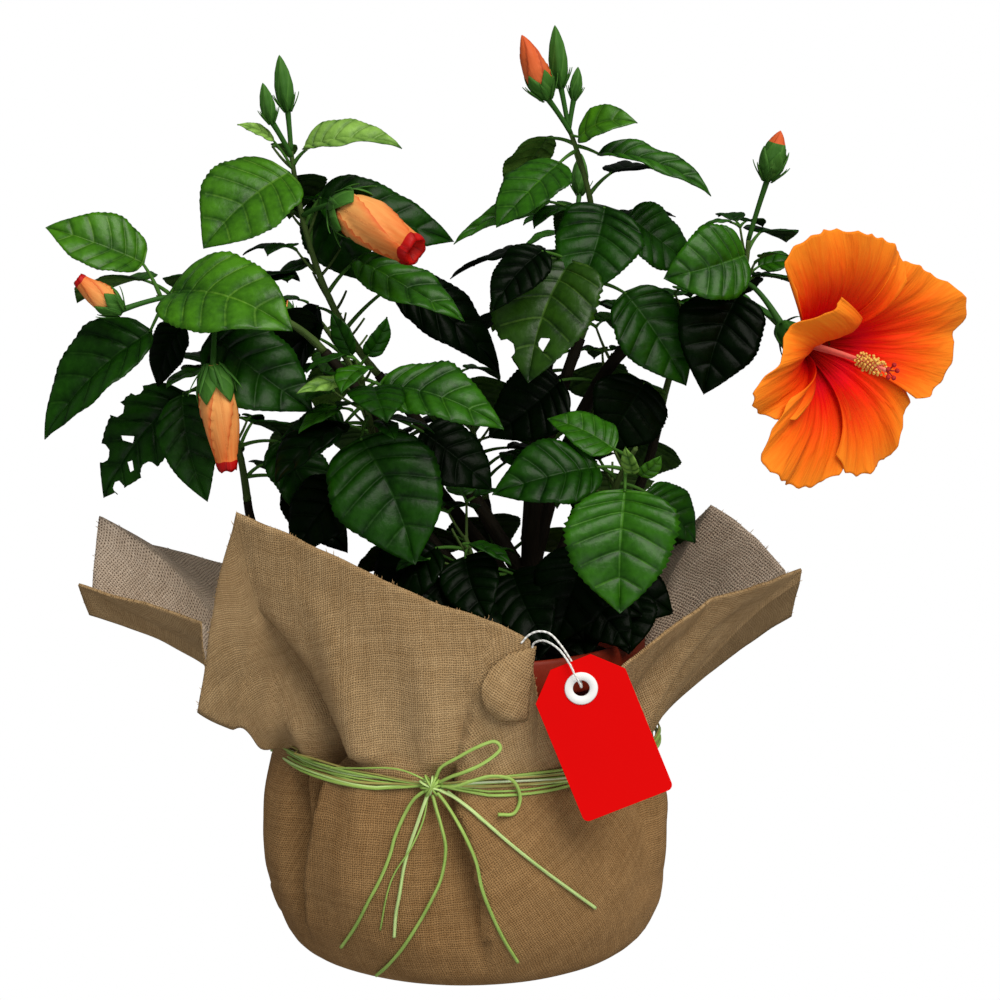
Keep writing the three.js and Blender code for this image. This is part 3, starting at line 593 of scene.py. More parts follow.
raffia_green = raffia_finish("raffia_green", (180, 208, 108), (102, 146, 50))
raffia_pale = raffia_finish("raffia_pale", (214, 232, 168), (142, 186, 78))
raffia_brown = raffia_finish("raffia_brown", (186, 172, 100), (116, 116, 52))
raffia_white = raffia_finish("raffia_white", (226, 232, 206), (170, 194, 132))


def string_finish():
    finish = Finish("string_white", 0.8)
    around, along, _ = finish.parts(finish.place("UV"))
    strands = ((around * 1400 + along * 2300).wave() * 0.5 + 0.5)
    color = finish.mix(strands, linear(205, 205, 200), linear(246, 246, 243))
    return finish.wear(color, None, strands, 0.6, 0.0004)


string_white = string_finish()

# Loose strands, as seen from the front: sideways place, height, lift off the cloth
RAFFIA_STRANDS = {
    "raffia_tail_left": [[-19, 109, 5.6], [-25, 104, 6], [-30, 95, 4], [-34, 85], [-37, 74], [-42, 61],
                         [-48, 48], [-55, 34], [-63, 20]],
    "raffia_tail_middle": [[-17.5, 107.5, 5.6], [-20, 101, 5.6], [-23, 92, 4], [-27, 80], [-30, 68],
                           [-32, 56], [-34, 44], [-35, 32]],
    "raffia_tail_long": [[-15.4, 107, 5.6], [-13.5, 100, 5.6], [-11, 91, 4], [-9, 80], [-11, 66], [-16, 54],
                         [-23, 40], [-31, 26], [-39, 14], [-45, 6]],
    "raffia_tail_right": [[-13, 108, 5.6], [-9, 103, 5.6], [-4, 95, 4], [1, 86], [6, 74], [9, 60],
                          [14, 46], [20, 32], [27, 18]],
    "raffia_tail_far": [[-12, 109.4, 5.6], [-5, 106, 5.6], [3, 100, 4], [11, 93], [21, 84], [32, 74],
                        [43, 64], [55, 53], [66, 42]],
    "raffia_loop": [[-14, 115, 5.6], [-11, 121, 6], [-3, 126, 6], [6, 131, 6], [15, 134, 6], [18, 130, 7],
                    [10, 124, 9], [1, 120, 10], [-6, 117, 8.5], [-12, 113.2, 5.6]],
    "raffia_bow": [[-11, 111.4, 5.6], [-4, 112, 8], [4, 115, 9], [14, 117, 8], [24, 114, 6], [28, 105, 5],
                   [25, 97, 4], [17, 97, 5]],
}
# Thin wisps that hang with them from the knot
RAFFIA_WISPS = [
    [[-17.5, 108.5, 5.6], [-20, 94, 3], [-26, 80, 2.6], [-36, 62.6, 2.4], [-42, 35]],
    [[13.6, 91, 3], [8, 95, 3], [2, 101, 3.4], [-8, 109, 5.4]],
    [[-14, 112, 5.6], [-32, 118, 4], [-52, 116, 3], [-68, 113, 3]],
]
STRING_ROUTE = [
    [33.6, -100.5, 179.5], [35, -102.8, 183.4], [40, -107.6, 185.4], [46.4, -112.6, 182.6],
    [51.5, -115.6, 176.4], [54.5, -116.6, 170.5], [56.8, -115.6, 166], [57.8, -113, 163.5],
    [57.4, -110.4, 166], [55.4, -109.2, 171], [52, -108.2, 177], [47.5, -107, 183.5], [42.4, -105.8, 188.6],
    [36.8, -104.2, 189.4], [32, -102.4, 187], [28.4, -101.3, 182.8],
]


def strand_relief(seed):
    """Folds along a strand of raffia, which twist slowly round it."""
    def relief(along, angle):
        fold = 0.1 * cos(3 * angle + 60 * along + seed) + 0.06 * cos(7 * angle - 150 * along)
        return fold + 0.08 * noise.noise((along * 160, seed, 0.0)) - 0.04
    return relief


def lay_on_cloth(line, gap):
    """Pushes a strand out where a fold of the cloth would cover it."""
    pushed = []
    for spot in line:
        reach = cloth_reach(np.degrees(np.arctan2(spot.y, spot.x)), spot.z / MM, 2)
        pushed.append(max(0.0, reach + gap - (spot.x ** 2 + spot.y ** 2) ** 0.5 / MM))
    for _ in range(12):
        ends = [pushed[0]] + pushed + [pushed[-1]]
        pushed = [max(here, (before + after) / 2) for before, here, after in zip(ends, pushed, ends[2:])]
    moved = []
    for spot, push in zip(line, pushed):
        long = (spot.x ** 2 + spot.y ** 2) ** 0.5
        scale = (long + push * MM) / long
        moved.append(Vector((spot.x * scale, spot.y * scale, spot.z)))
    return moved


def raffia_strand(name, rows, seed):
    line = smooth_route([on_cloth(*row) for row in rows], 12 * len(rows))
    line = lay_on_cloth(line, RAFFIA_GAP)
    shape = Shape()
    length = tube(shape, line, RAFFIA_THREAD * MM, 14, relief=strand_relief(seed))
    finish = (raffia_green, raffia_pale)[seed % 3 == 1]
    piece = settle(shape.make(name + "_strand", finish), "raffia", name)


for number, (strand, strand_rows) in enumerate(RAFFIA_STRANDS.items()):
    raffia_strand(strand, strand_rows, number)

string_line = smooth_route([mm(*row) for row in STRING_ROUTE], 150)
string_shape = Shape()
string_length = tube(string_shape, string_line, STRING_THREAD * MM, 12,
                     relief=lambda along, angle: 0.07 * cos(2 * angle + 4200 * along))
tag_string = settle(string_shape.make("tag_cord", string_white), "string", "tag_string")


# Jute cloth, with painted shade that makes it darker and browner below the tie: where that starts, over what
# height, and what it takes of the colour
PAINTED_SHADE_TOP = NECK_HEIGHT + 9
PAINTED_SHADE_FADE = 22
PAINTED_SHADE_TINT = (0.75, 0.65, 0.54, 1)


def jute_finish(name, tan, dark, gap, pitch, openness):
    """A plain weave: threads run along both ways of the flat map, over and under in turn."""
    finish = Finish(name, 0.95, Specular_IOR_Level=0.08)
    across, along, _ = finish.parts(finish.place("UV"))
    wander = finish.noise(60.0, 3.0) - 0.5
    stray = finish.noise(210.0, 2.0) - 0.5
    x = across / (pitch * MM) + wander * 3.0 + stray * 1.1
    y = along / (pitch * MM) + wander * 2.2 - stray * 1.0
    over = (x * pi).math("COSINE") * (y * pi).math("COSINE")
    warp_tone = finish.node("ShaderNodeTexWhiteNoise", {"W": (x + 0.5).math("FLOOR")}, noise_dimensions="1D")
    weft_tone = finish.node("ShaderNodeTexWhiteNoise", {"W": (y + 40.5).math("FLOOR")}, noise_dimensions="1D")
    slub = finish.noise(1.0, 3.0, finish.scaled((900, 110, 1), "UV"))
    slub_weft = finish.noise(1.0, 3.0, finish.scaled((110, 900, 1), "UV"))
    lift_warp = (x * pi).math("COSINE").size() * (over * 0.28 + 0.6) * (slub * 1.2 + 0.4)
    lift_weft = (y * pi).math("COSINE").size() * (over * -0.28 + 0.6) * (slub_weft * 1.2 + 0.4)
    height = lift_warp.math("MAXIMUM", lift_weft)
    fibre = finish.noise(1900.0, 3.0)
    broad = finish.noise(14.0, 3.0)
    blotch = finish.noise(90.0, 3.0)
    tone = (warp_tone * 0.12 + weft_tone * 0.12 + slub * 0.36 + slub_weft * 0.36 + broad * 0.6
            + blotch * 0.3 + fibre * 0.5 - 0.72).clamp()
    thread = finish.mix(tone, linear(*dark), linear(*tan))
    closed = finish.ramp(height, (openness, linear(*gap)), (openness + 0.34, (1, 1, 1, 1)))
    color = finish.mix(1.0, thread, closed, "MULTIPLY")
    # Painted shade: below the tie the cloth's colour is made darker and browner.
    _, _, up = finish.parts(finish.place())
    painted_shade_below_tie = ((PAINTED_SHADE_TOP * MM - up) / (PAINTED_SHADE_FADE * MM)).clamp()
    color = finish.mix(painted_shade_below_tie, color, PAINTED_SHADE_TINT, "MULTIPLY")
    return finish.wear(color, None, height + fibre * 0.4, 0.9, 0.0008)


jute_outer = jute_finish("jute_outer", (202, 171, 128), (132, 102, 66), (136, 117, 94), 1.2, 0.08)
jute_inner = jute_finish("jute_inner", (248, 228, 206), (180, 156, 132), (104, 88, 76), 1.6, 0.18)
jute_thread = Finish("jute_thread", 0.95, Specular_IOR_Level=0.08).wear(linear(184, 150, 106))
# The folded corner beside the tag: left and right side from foot to top, radius of the cloth there, lift of
# its edge, gap to the cloth, steps each way, and its weave's turn
FLAP_LEFT = [(19, 143.5), (-3, 160), (22, 177)]
FLAP_RIGHT = [(31, 143), (33, 163), (35.5, 181)]
FLAP_RADIUS = 104
FLAP_LIFT = 17.1
FLAP_GAP = 0.9
FLAP_STEPS = 20
FLAP_WEAVE = (0.83, 0.56)


def cloth_map(points, directions):
    """Flat places on the cloth, panel by panel, from the middle of each, and up it from its centre.

    The first column comes again at the end, with the place that it has on the other side."""
    around = np.linalg.norm(np.roll(points, -1, axis=0) - points, axis=2)
    across = np.vstack([np.zeros((1, points.shape[1])), np.cumsum(around, axis=0)])
    up = np.linalg.norm(np.diff(points, axis=1), axis=2)
    up = np.median([np.roll(up, step, axis=0) for step in range(-MAP_SPAN, MAP_SPAN + 1)], axis=0)
    along = np.concatenate([np.zeros((len(points), 1)), np.cumsum(up, axis=1)], axis=1)
    along = np.vstack([along, along[:1]])
    panels = []
    for start, middle, end in PANELS:
        inside = turned(directions - start) >= 0
        inside &= turned(directions - end) < 0
        anchor = int(np.argmin(abs(turned(directions - middle))))
        panels.append((inside, anchor))
    return across, along, panels


def curled_flap():
    """The corner of the upper layer, folded over beside the tag, with its free edge lifted at the left."""
    corners, flat = [], []
    for row in range(FLAP_STEPS + 1):
        rise = row / FLAP_STEPS
        left, right = bend(FLAP_LEFT, rise), bend(FLAP_RIGHT, rise)
        for column in range(FLAP_STEPS + 1):
            share = column / FLAP_STEPS
            x, z = left.lerp(right, share)
            lift = FLAP_LIFT * rise ** 0.45 * (1 - rise) ** 0.9 * sin(pi * (0.2 + 0.8 * share))
            direction = FRONT + np.degrees(np.arcsin(x / FLAP_RADIUS))
            radius = cloth_reach(direction, z, 1) + FLAP_GAP + lift
            corners.append(mm(x, -((radius ** 2 - x ** 2) ** 0.5), z))
            flat.append((x * FLAP_WEAVE[0] - z * FLAP_WEAVE[1], x * FLAP_WEAVE[1] + z * FLAP_WEAVE[0]))
    return corners, grid(FLAP_STEPS + 1, FLAP_STEPS + 1), flat


def jute_wrap():
    """The cloth with its weave laid out panel by panel, its foot closed, and the folded corner added."""
    points, directions = cloth_middle, cloth_columns
    across, along, panels = cloth_map(points, directions)
    rows, levels, _ = points.shape
    shape = Shape()
    faces, flat = [], []
    offset = lap_offset(FRONT_LAP, directions[:, None], points[:, :, 2])
    for row in range(rows):
        after = (row + 1) % rows
        anchor = next(middle for inside, middle in panels if inside[row])
        for level in range(1, levels - 1):
            a, b = row * levels + level, after * levels + level
            faces.append((a, b, b + 1, a + 1))
            turn = RIGHT_TURN if 0 < offset[row, level] < RIGHT_PART else 0.0
            for column, height in ((row, level), (row + 1, level), (row + 1, level + 1), (row, level + 1)):
                x = across[column, height] - across[anchor, height]
                y = along[column, height]
                flat.append((x * cos(turn) - y * sin(turn), x * sin(turn) + y * cos(turn)))
    shape.add((points * MM).reshape(-1, 3), faces)
    foot = len(shape.corners)
    shape.add([(0, 0, CLOTH_FOOT * MM)], [])
    for row in range(rows):
        shape.faces.append((foot, ((row + 1) % rows) * levels + 1, row * levels + 1))
        shape.slots.append(0)
        flat.extend([(0, 0), (across[row + 1, 1], FOOT_RADIUS), (across[row, 1], FOOT_RADIUS)])
    corners, flap_faces, flap_flat = curled_flap()
    shape.add(corners, flap_faces)
    flat.extend(flap_flat[corner] for face in flap_faces for corner in face)
    piece = shape.make("jute_cloth", jute_outer, jute_inner)
    layer = piece.data.uv_layers["flat"]
    layer.data.foreach_set("uv", (np.array(flat, dtype=np.float32) * MM).ravel())
    modify(piece, "SOLIDIFY", thickness=CLOTH_SEEN * MM, offset=0, material_offset=1, use_rim=True)
    return piece


def jute_fray():
    """Short thread ends along the cut edge of the cloth."""
    draw = Draw(77)
    shape = Shape()
    rim = [Vector(row[-1]) for row in cloth_middle]
    for number, edge in enumerate(rim):
        outward = (edge - Vector(cloth_middle[number][-3])).normalized()
        beside = rim[(number + 1) % len(rim)] - edge
        for _ in range(3):
            start = (edge + beside * draw() - outward * 0.9) * MM
            long = (0.7 + 1.3 * draw() ** 4) * MM
            sway = Vector((draw() - 0.5, draw() - 0.5, draw() - 0.5)) * 1.6
            end = start + (outward + sway * 0.9) * long
            middle = (start + end) / 2 + sway * long * 0.4
            tube(shape, [start, middle, end], [0.26 * MM, 0.18 * MM, 0.08 * MM], 3)
    return shape.make("jute_fray", jute_thread)


wrap = settle(jute_wrap(), "jute", "jute_wrap")
fray = settle(jute_fray(), "jute")


# Pot and soil
def pot_finish():
    finish = Finish("pot_plastic", 0.5, Specular_IOR_Level=0.2)
    speckle = finish.noise(60.0, 4.0)
    dust = finish.noise(420.0, 2.0)
    color = finish.mix((speckle * 0.9 + dust * 0.3 - 0.15).clamp(), linear(104, 30, 16), linear(142, 52, 32))
    return finish.wear(color, speckle * 0.3 + 0.38, dust, 0.25, 0.0004)


def soil_finish():
    finish = Finish("potting_soil", 0.95, Specular_IOR_Level=0.03)
    crumbs = finish.noise(160.0, 5.0)
    # Dark peat, made near black besides as painted shade under the crown.
    color = finish.ramp(crumbs, (0.35, linear(6, 4, 3)), (0.6, linear(18, 13, 9)), (0.8, linear(44, 32, 24)))
    return finish.wear(color, None, crumbs, 0.8, 0.002)


def pot():
    """The wall's outline, spun into the pot."""
    bottom = CLOTH_THICKNESS + CLEARANCE
    base, rim, wall, top = (POT[key] for key in ("base_radius", "rim_radius", "wall", "rim_top"))
    step_z = top - POT["rim_height"]
    outline = [
        (base - 2, bottom), (base, bottom + 2), (WAIST, step_z), (rim - 1, step_z + 1), (rim, step_z + 3),
        (rim, top - 2), (rim - 1, top), (rim - wall, top), (WAIST - wall, step_z),
        (base - wall, bottom + wall),
    ]
    turns = angles(POT_SIDES)
    corners = [mm(radius * cos(angle), radius * sin(angle), z) for radius, z in outline for angle in turns]
    shape = Shape()
    shape.add(corners, capped(len(outline), POT_SIDES))
    piece = shape.make("pot_wall", pot_finish())
    modify(piece, "BEVEL", width=0.6 * MM, segments=2, limit_method="ANGLE", angle_limit=radians(35))
    choose(piece)
    bpy.ops.object.shade_smooth_by_angle(angle=radians(30))
    return piece


settle(pot(), "pot", "pot")


def soil():
    """A square grid drawn round, with a crumbled top, down into the pot."""
    radius = WAIST - POT["wall"] - 1
    bpy.ops.object.select_all(action="DESELECT")
    bpy.ops.mesh.primitive_grid_add(x_subdivisions=90, y_subdivisions=90, size=2 * radius * MM,
                                    location=(0, 0, SOIL_TOP * MM))
    piece = bpy.context.object
    piece.name = piece.data.name = "soil_bed"
    piece.data.materials.append(soil_finish().material)
    bpy.ops.object.transform_apply(location=True, rotation=True, scale=True)
    for vertex in piece.data.vertices:
        spot = vertex.co
        square = max(abs(spot.x), abs(spot.y))
        long = (spot.x ** 2 + spot.y ** 2) ** 0.5
        if long > 0:
            spot.x, spot.y = spot.x * square / long, spot.y * square / long
        crumbs = noise.fractal(spot * 60, 1.0, 2.0, 4) * 2.6 + noise.noise(spot * 18) * 2.2
        edge = min(1.0, (radius * MM - square) / (6 * MM))
        spot.z += (crumbs * edge - 1.6) * MM
    face_outward(piece)
    modify(piece, "SOLIDIFY", thickness=20 * MM, offset=-1)
    bpy.ops.object.shade_smooth()
    return piece


settle(soil(), "soil", "soil")


# Raffia round the neck: the finish of each strand, the directions where they lie apart and where they are
# tied, over how far they are gathered, and the middle and half width of each fold that they lie under
BAND_SLOTS = (0, 1, 0, 2, 0, 3, 1, 0, 2)
BAND_RADIUS = NECK_RADIUS + CLOTH_THICKNESS / 2 + 1.2
BAND_STEPS = 160
BAND_GAP = 1.1
BAND_LOOSE = 228
BAND_TIED = 261
BAND_GATHER = 16
BAND_TUCKS = [(205, 10), (340, 22)]
# Lean and reach of the knot's turns, and the wisps' gap to the cloth
KNOT_TURNS = [(8, 5.2), (-22, 5.0), (38, 4.6), (-58, 4.8), (82, 4.4), (64, 5.0)]
WISP_GAP = 1.3


def raffia_ring():
    """Strands that lie round the neck, apart at the left of the front and drawn together at the knot."""
    draw = Draw(5)
    shape = Shape()
    for strand, slot in enumerate(BAND_SLOTS):
        spread = strand - (len(BAND_SLOTS) - 1) / 2
        phase = [2 * pi * draw() for _ in range(3)]
        line = []
        for angle in angles(BAND_STEPS):
            loose = 0.5 + 0.5 * cos(angle - radians(BAND_LOOSE))
            drawn = min(1.0, abs(turned(np.degrees(angle) - BAND_TIED)) / BAND_GATHER)
            sway = 1.1 * sin(2 * angle + phase[0]) + 0.8 * sin(5 * angle + phase[1])
            height = BAND_HEIGHT + drawn * (spread * (0.5 + 0.5 * loose) + sway)
            ring = BAND_RADIUS + 0.6 * sin(3 * angle + phase[2]) + 0.3 * abs(spread)
            line.append(mm(ring * cos(angle), ring * sin(angle), height))
        for row, high in enumerate(lay_on_cloth(line, BAND_GAP)):
            if all(abs(turned(row * 360 / BAND_STEPS - middle)) >= half for middle, half in BAND_TUCKS):
                line[row] = high
        line.append(line[0])
        radius = (0.5 + 0.35 * draw()) * MM
        tube(shape, line, radius, 10, slot, relief=strand_relief(strand * 3.1), flatten=0.7)
    return shape.make("raffia_ring", raffia_green, raffia_pale, raffia_brown, raffia_white)


def raffia_knot():
    """Turns of raffia pulled tight over one another, and the wisps."""
    shape = Shape()
    middle = on_cloth(KNOT["x"], KNOT["z"], KNOT["lift"] - 1.4)
    for turn, (lean, reach) in enumerate(KNOT_TURNS):
        across = Vector((cos(radians(lean)), 0, sin(radians(lean))))
        line = []
        for angle in angles(24):
            out = across * cos(angle) * (reach + 0.9 * (turn % 2))
            line.append(middle + (out + Vector((0, -sin(angle), 0)) * (3.1 + 0.25 * turn)) * MM)
        line.append(line[0])
        tube(shape, line, 0.8 * MM, 10, int(turn % 3 == 1), relief=strand_relief(turn * 1.7), flatten=0.7)
    for number, wisp in enumerate(RAFFIA_WISPS):
        line = lay_on_cloth(smooth_route([on_cloth(*row) for row in wisp], 50), WISP_GAP)
        tube(shape, line, 0.5 * MM, 8, number % 2, relief=strand_relief(number * 2.3))
    return shape.make("raffia_knot", raffia_green, raffia_pale)


settle(raffia_ring(), "raffia", "raffia_band")
settle(raffia_knot(), "raffia", "raffia_band")


# Swing tag, with nothing printed on it
def tag_finish():
    finish = Finish("tag_card", 0.6, Specular_IOR_Level=0.06)
    grain = finish.noise(900.0, 2.0)
    sheen = finish.noise(22.0, 2.0)
    color = finish.mix(sheen, linear(214, 0, 0), linear(224, 2, 1))
    return finish.wear(color, sheen * 0.1 + 0.55, grain, 0.1, 0.0002)


def tag_outline():
    """The card about the eyelet, with its upper corners cut off and its lower ones round."""
    half, top, cut, corner = TAG["width"] / 2, TAG["top"], TAG["cut"], TAG["corner"]
    low = top - TAG["length"]
    turns = np.linspace(0, pi / 2, 7)
    outline = [(-half + cut, top), (-half, top - cut)]
    outline += [(-half + corner - corner * cos(a), low + corner - corner * sin(a)) for a in turns]
    outline += [(half - corner + corner * sin(a), low + corner - corner * cos(a)) for a in turns]
    return outline + [(half, top - cut), (half - cut, top)]


def tag():
    """The card's outline is filled, given its thickness, and turned about the eyelet."""
    reach = EYELET["tube"] + CLEARANCE
    hole = [(reach * cos(a), reach * sin(a)) for a in np.linspace(0, 2 * pi, 48, endpoint=False)]
    card = bpy.data.curves.new("tag_outline", "CURVE")
    card.dimensions = "2D"
    card.fill_mode = "BOTH"
    card.extrude = (TAG["thickness"] / 2 - TAG["bevel"]) * MM
    card.bevel_depth = TAG["bevel"] * MM
    for ring in (tag_outline(), hole):
        spline = card.splines.new("POLY")
        spline.points.add(len(ring) - 1)
        for knot, (x, y) in zip(spline.points, ring):
            knot.co = (x * MM, y * MM, 0, 1)
        spline.use_cyclic_u = True
    piece = bpy.data.objects.new("tag_card", card)
    bpy.context.scene.collection.objects.link(piece)
    choose(piece)
    bpy.ops.object.convert(target="MESH")
    piece = bpy.context.object
    turn = Matrix.Rotation(radians(TAG["lean"]), 4, "Y") @ Matrix.Rotation(pi / 2, 4, "X")
    piece.data.transform(Matrix.Translation(mm(EYELET["x"], EYELET["y"], EYELET["z"])) @ turn)
    piece.data.materials.append(tag_finish().material)
    return piece


def tag_ring():
    """White washer with a rolled lip on both sides of the card."""
    finish = Finish("tag_ring_white", 0.45)
    finish.wear(linear(240, 240, 238), finish.noise(80.0) * 0.2 + 0.35)
    hole, tube_radius, flange, depth = (EYELET[key] for key in ("hole", "tube", "flange", "depth"))
    seat = TAG["thickness"] / 2 + CLEARANCE
    half = [(hole, 0), (hole, -depth * 0.6), (hole + 0.4, -depth), (flange - 1.4, -depth),
            (flange - 0.4, -depth * 0.8), (flange, -seat), (tube_radius, -seat), (tube_radius, 0)]
    outline = half + [(radius, -y) for radius, y in half[-2:0:-1]]
    corners = [mm(EYELET["x"] + radius * cos(angle), EYELET["y"] + y, EYELET["z"] + radius * sin(angle))
               for radius, y in outline for angle in angles(RING_SIDES)]
    shape = Shape()
    closed = grid(len(outline) + 1, RING_SIDES, closed=True)
    shape.add(corners, [tuple(corner % len(corners) for corner in face) for face in closed])
    piece = shape.make("tag_washer", finish)
    face_outward(piece)
    return piece


settle(tag(), "tag", "tag")
settle(tag_ring(), "eyelet", "tag_eyelet")


# Stems
STEM_STEPS = 40
BOUGH_STEPS = 70
FLARE_STEPS = 9
STEM = dict(path=[(31, 8, SOIL_TOP + CLEARANCE), (31, 8, 176), (34, 8, 200)],
            radii=[[0, 11.5], [0.1, 9.4], [0.25, 8], [0.6, 6.8], [1, 6]])
BOUGHS = {
    "top": dict(path=[(33, 8, 190), (36, 6, 262), (60, 3, 322)], base=4.6, tip=2.8),
    "upper_left": dict(path=[(33, 8, 188), (2, 22, 245), (-46, 10, 302)], base=4.4, tip=2.6),
    "right": dict(path=[(33, 8, 186), (62, 22, 336), (127, -4, 338)], base=4.2, tip=2.6),
    "left": dict(path=[(33, 8, 178), (-34, -18, 272), (-72, -24, 318)], base=4, tip=2.6),
    "centre": dict(path=[(33, 8, 172), (-26, -26, 196), (-44, -44, 268)], base=3.8, tip=2.5),
    "front_right": dict(path=[(33, 8, 176), (64, -32, 186), (72, -48, 236)], base=3.8, tip=2.5),
    "lower_left": dict(path=[(33, 8, 166), (-108, 2, 160), (-115, 0, 236)], base=3.6, tip=2.3),
    "inner_right": dict(path=[(33, 8, 180), (60, 34, 206), (64, 26, 258)], base=3.4, tip=2.3),
    "back_middle": dict(path=[(33, 8, 192), (32, 52, 252), (48, 66, 316)], base=3.8, tip=2.4),
    "back_left": dict(path=[(33, 8, 170), (-34, 66, 196), (-56, 76, 276)], base=3.6, tip=2.4),
    "back_right": dict(path=[(33, 8, 174), (92, 62, 196), (106, 62, 274)], base=3.6, tip=2.4),
    "back_low": dict(path=[(33, 8, 164), (18, 92, 168), (10, 108, 218)], base=3.4, tip=2.3),
    "low": dict(path=[(33, 8, 160), (16, -38, 158), (10, -46, 190)], base=3.2, tip=2.2),
}


def bark_finish(name, dark, light, scale):
    finish = Finish(name, 0.8, Specular_IOR_Level=0.15)
    streaks = finish.noise(1.0, 4.0, finish.scaled((scale, scale * 0.12, 1), "UV"))
    patches = finish.noise(45.0, 3.0)
    color = finish.mix((streaks * 0.8 + patches * 0.6 - 0.2).clamp(), linear(*dark), linear(*light))
    return finish.wear(color, streaks * 0.2 + 0.62, streaks, 0.6, 0.0008)


def bark_relief(seed):
    """Ridges that run along a limb, and rings where old leaves sat."""
    def relief(along, angle):
        ridge = noise.noise((cos(angle) * 2.1, sin(angle) * 2.1, along * 60 + seed))
        node = max(0.0, cos(along * 2 * pi / 0.021 + seed)) ** 14
        return 0.11 * ridge + 0.10 * node
    return relief


def limbs():
    """The stem and the boughs with the bark's relief, each bough thicker where it leaves the stem."""
    shape = Shape()
    line = bend_line([mm(*point) for point in STEM["path"]], STEM_STEPS)
    shares, radii = zip(*STEM["radii"])
    widths = [float(np.interp(step / STEM_STEPS, shares, radii)) * MM for step in range(STEM_STEPS + 1)]
    tube(shape, line, widths, 20, relief=bark_relief(0.4))
    for number, bough in enumerate(BOUGHS.values()):
        line = bend_line([mm(*point) for point in bough["path"]], BOUGH_STEPS)
        widths = taper(bough["base"], bough["tip"], BOUGH_STEPS)
        for step in range(FLARE_STEPS):
            widths[step] *= 1 + 0.3 * (1 - step / FLARE_STEPS) ** 2
        tube(shape, line, widths, 14, relief=bark_relief(number * 1.3))
    return shape.make("stem_and_boughs", bark_finish("bark", (13, 11, 7), (40, 34, 21), 700))


settle(limbs(), "bark", "main_stem", *("bough_" + name for name in BOUGHS))


# Foliage: each mass as in the part, with the tone of each leaf besides. Leaves under extra, and those whose
# place is negative and so on the bough, are this script's own
def leaf(at, foot, tip, width, looks, tone="mid", arch=0.05, fold=0.0, holes=(), wave=1.0, teeth=0.014):
    return dict(at=at, foot=foot, tip=tip, width=width, looks=looks, tone=tone, arch=arch, fold=fold,
                holes=holes, wave=wave, teeth=teeth)


def bud(at, foot, tip, radius, ripe=0.0):
    return dict(at=at, foot=foot, tip=tip, radius=radius, ripe=ripe)


EATEN = [(0.3, -0.5, 0.035), (0.52, 0.25, 0.05), (0.66, -0.42, 0.045), (0.42, 0.95, 0.06), (0.74, 0.9, 0.07),
         (0.6, -1.0, 0.08), (0.85, -0.8, 0.05), (0.36, 0.4, 0.028), (0.22, 1.0, 0.05)]
TORN = [(0.45, 0.31, 0.055), (0.7, -0.31, 0.06), (0.8, 1.0, 0.07), (0.48, 1.0, 0.05)]

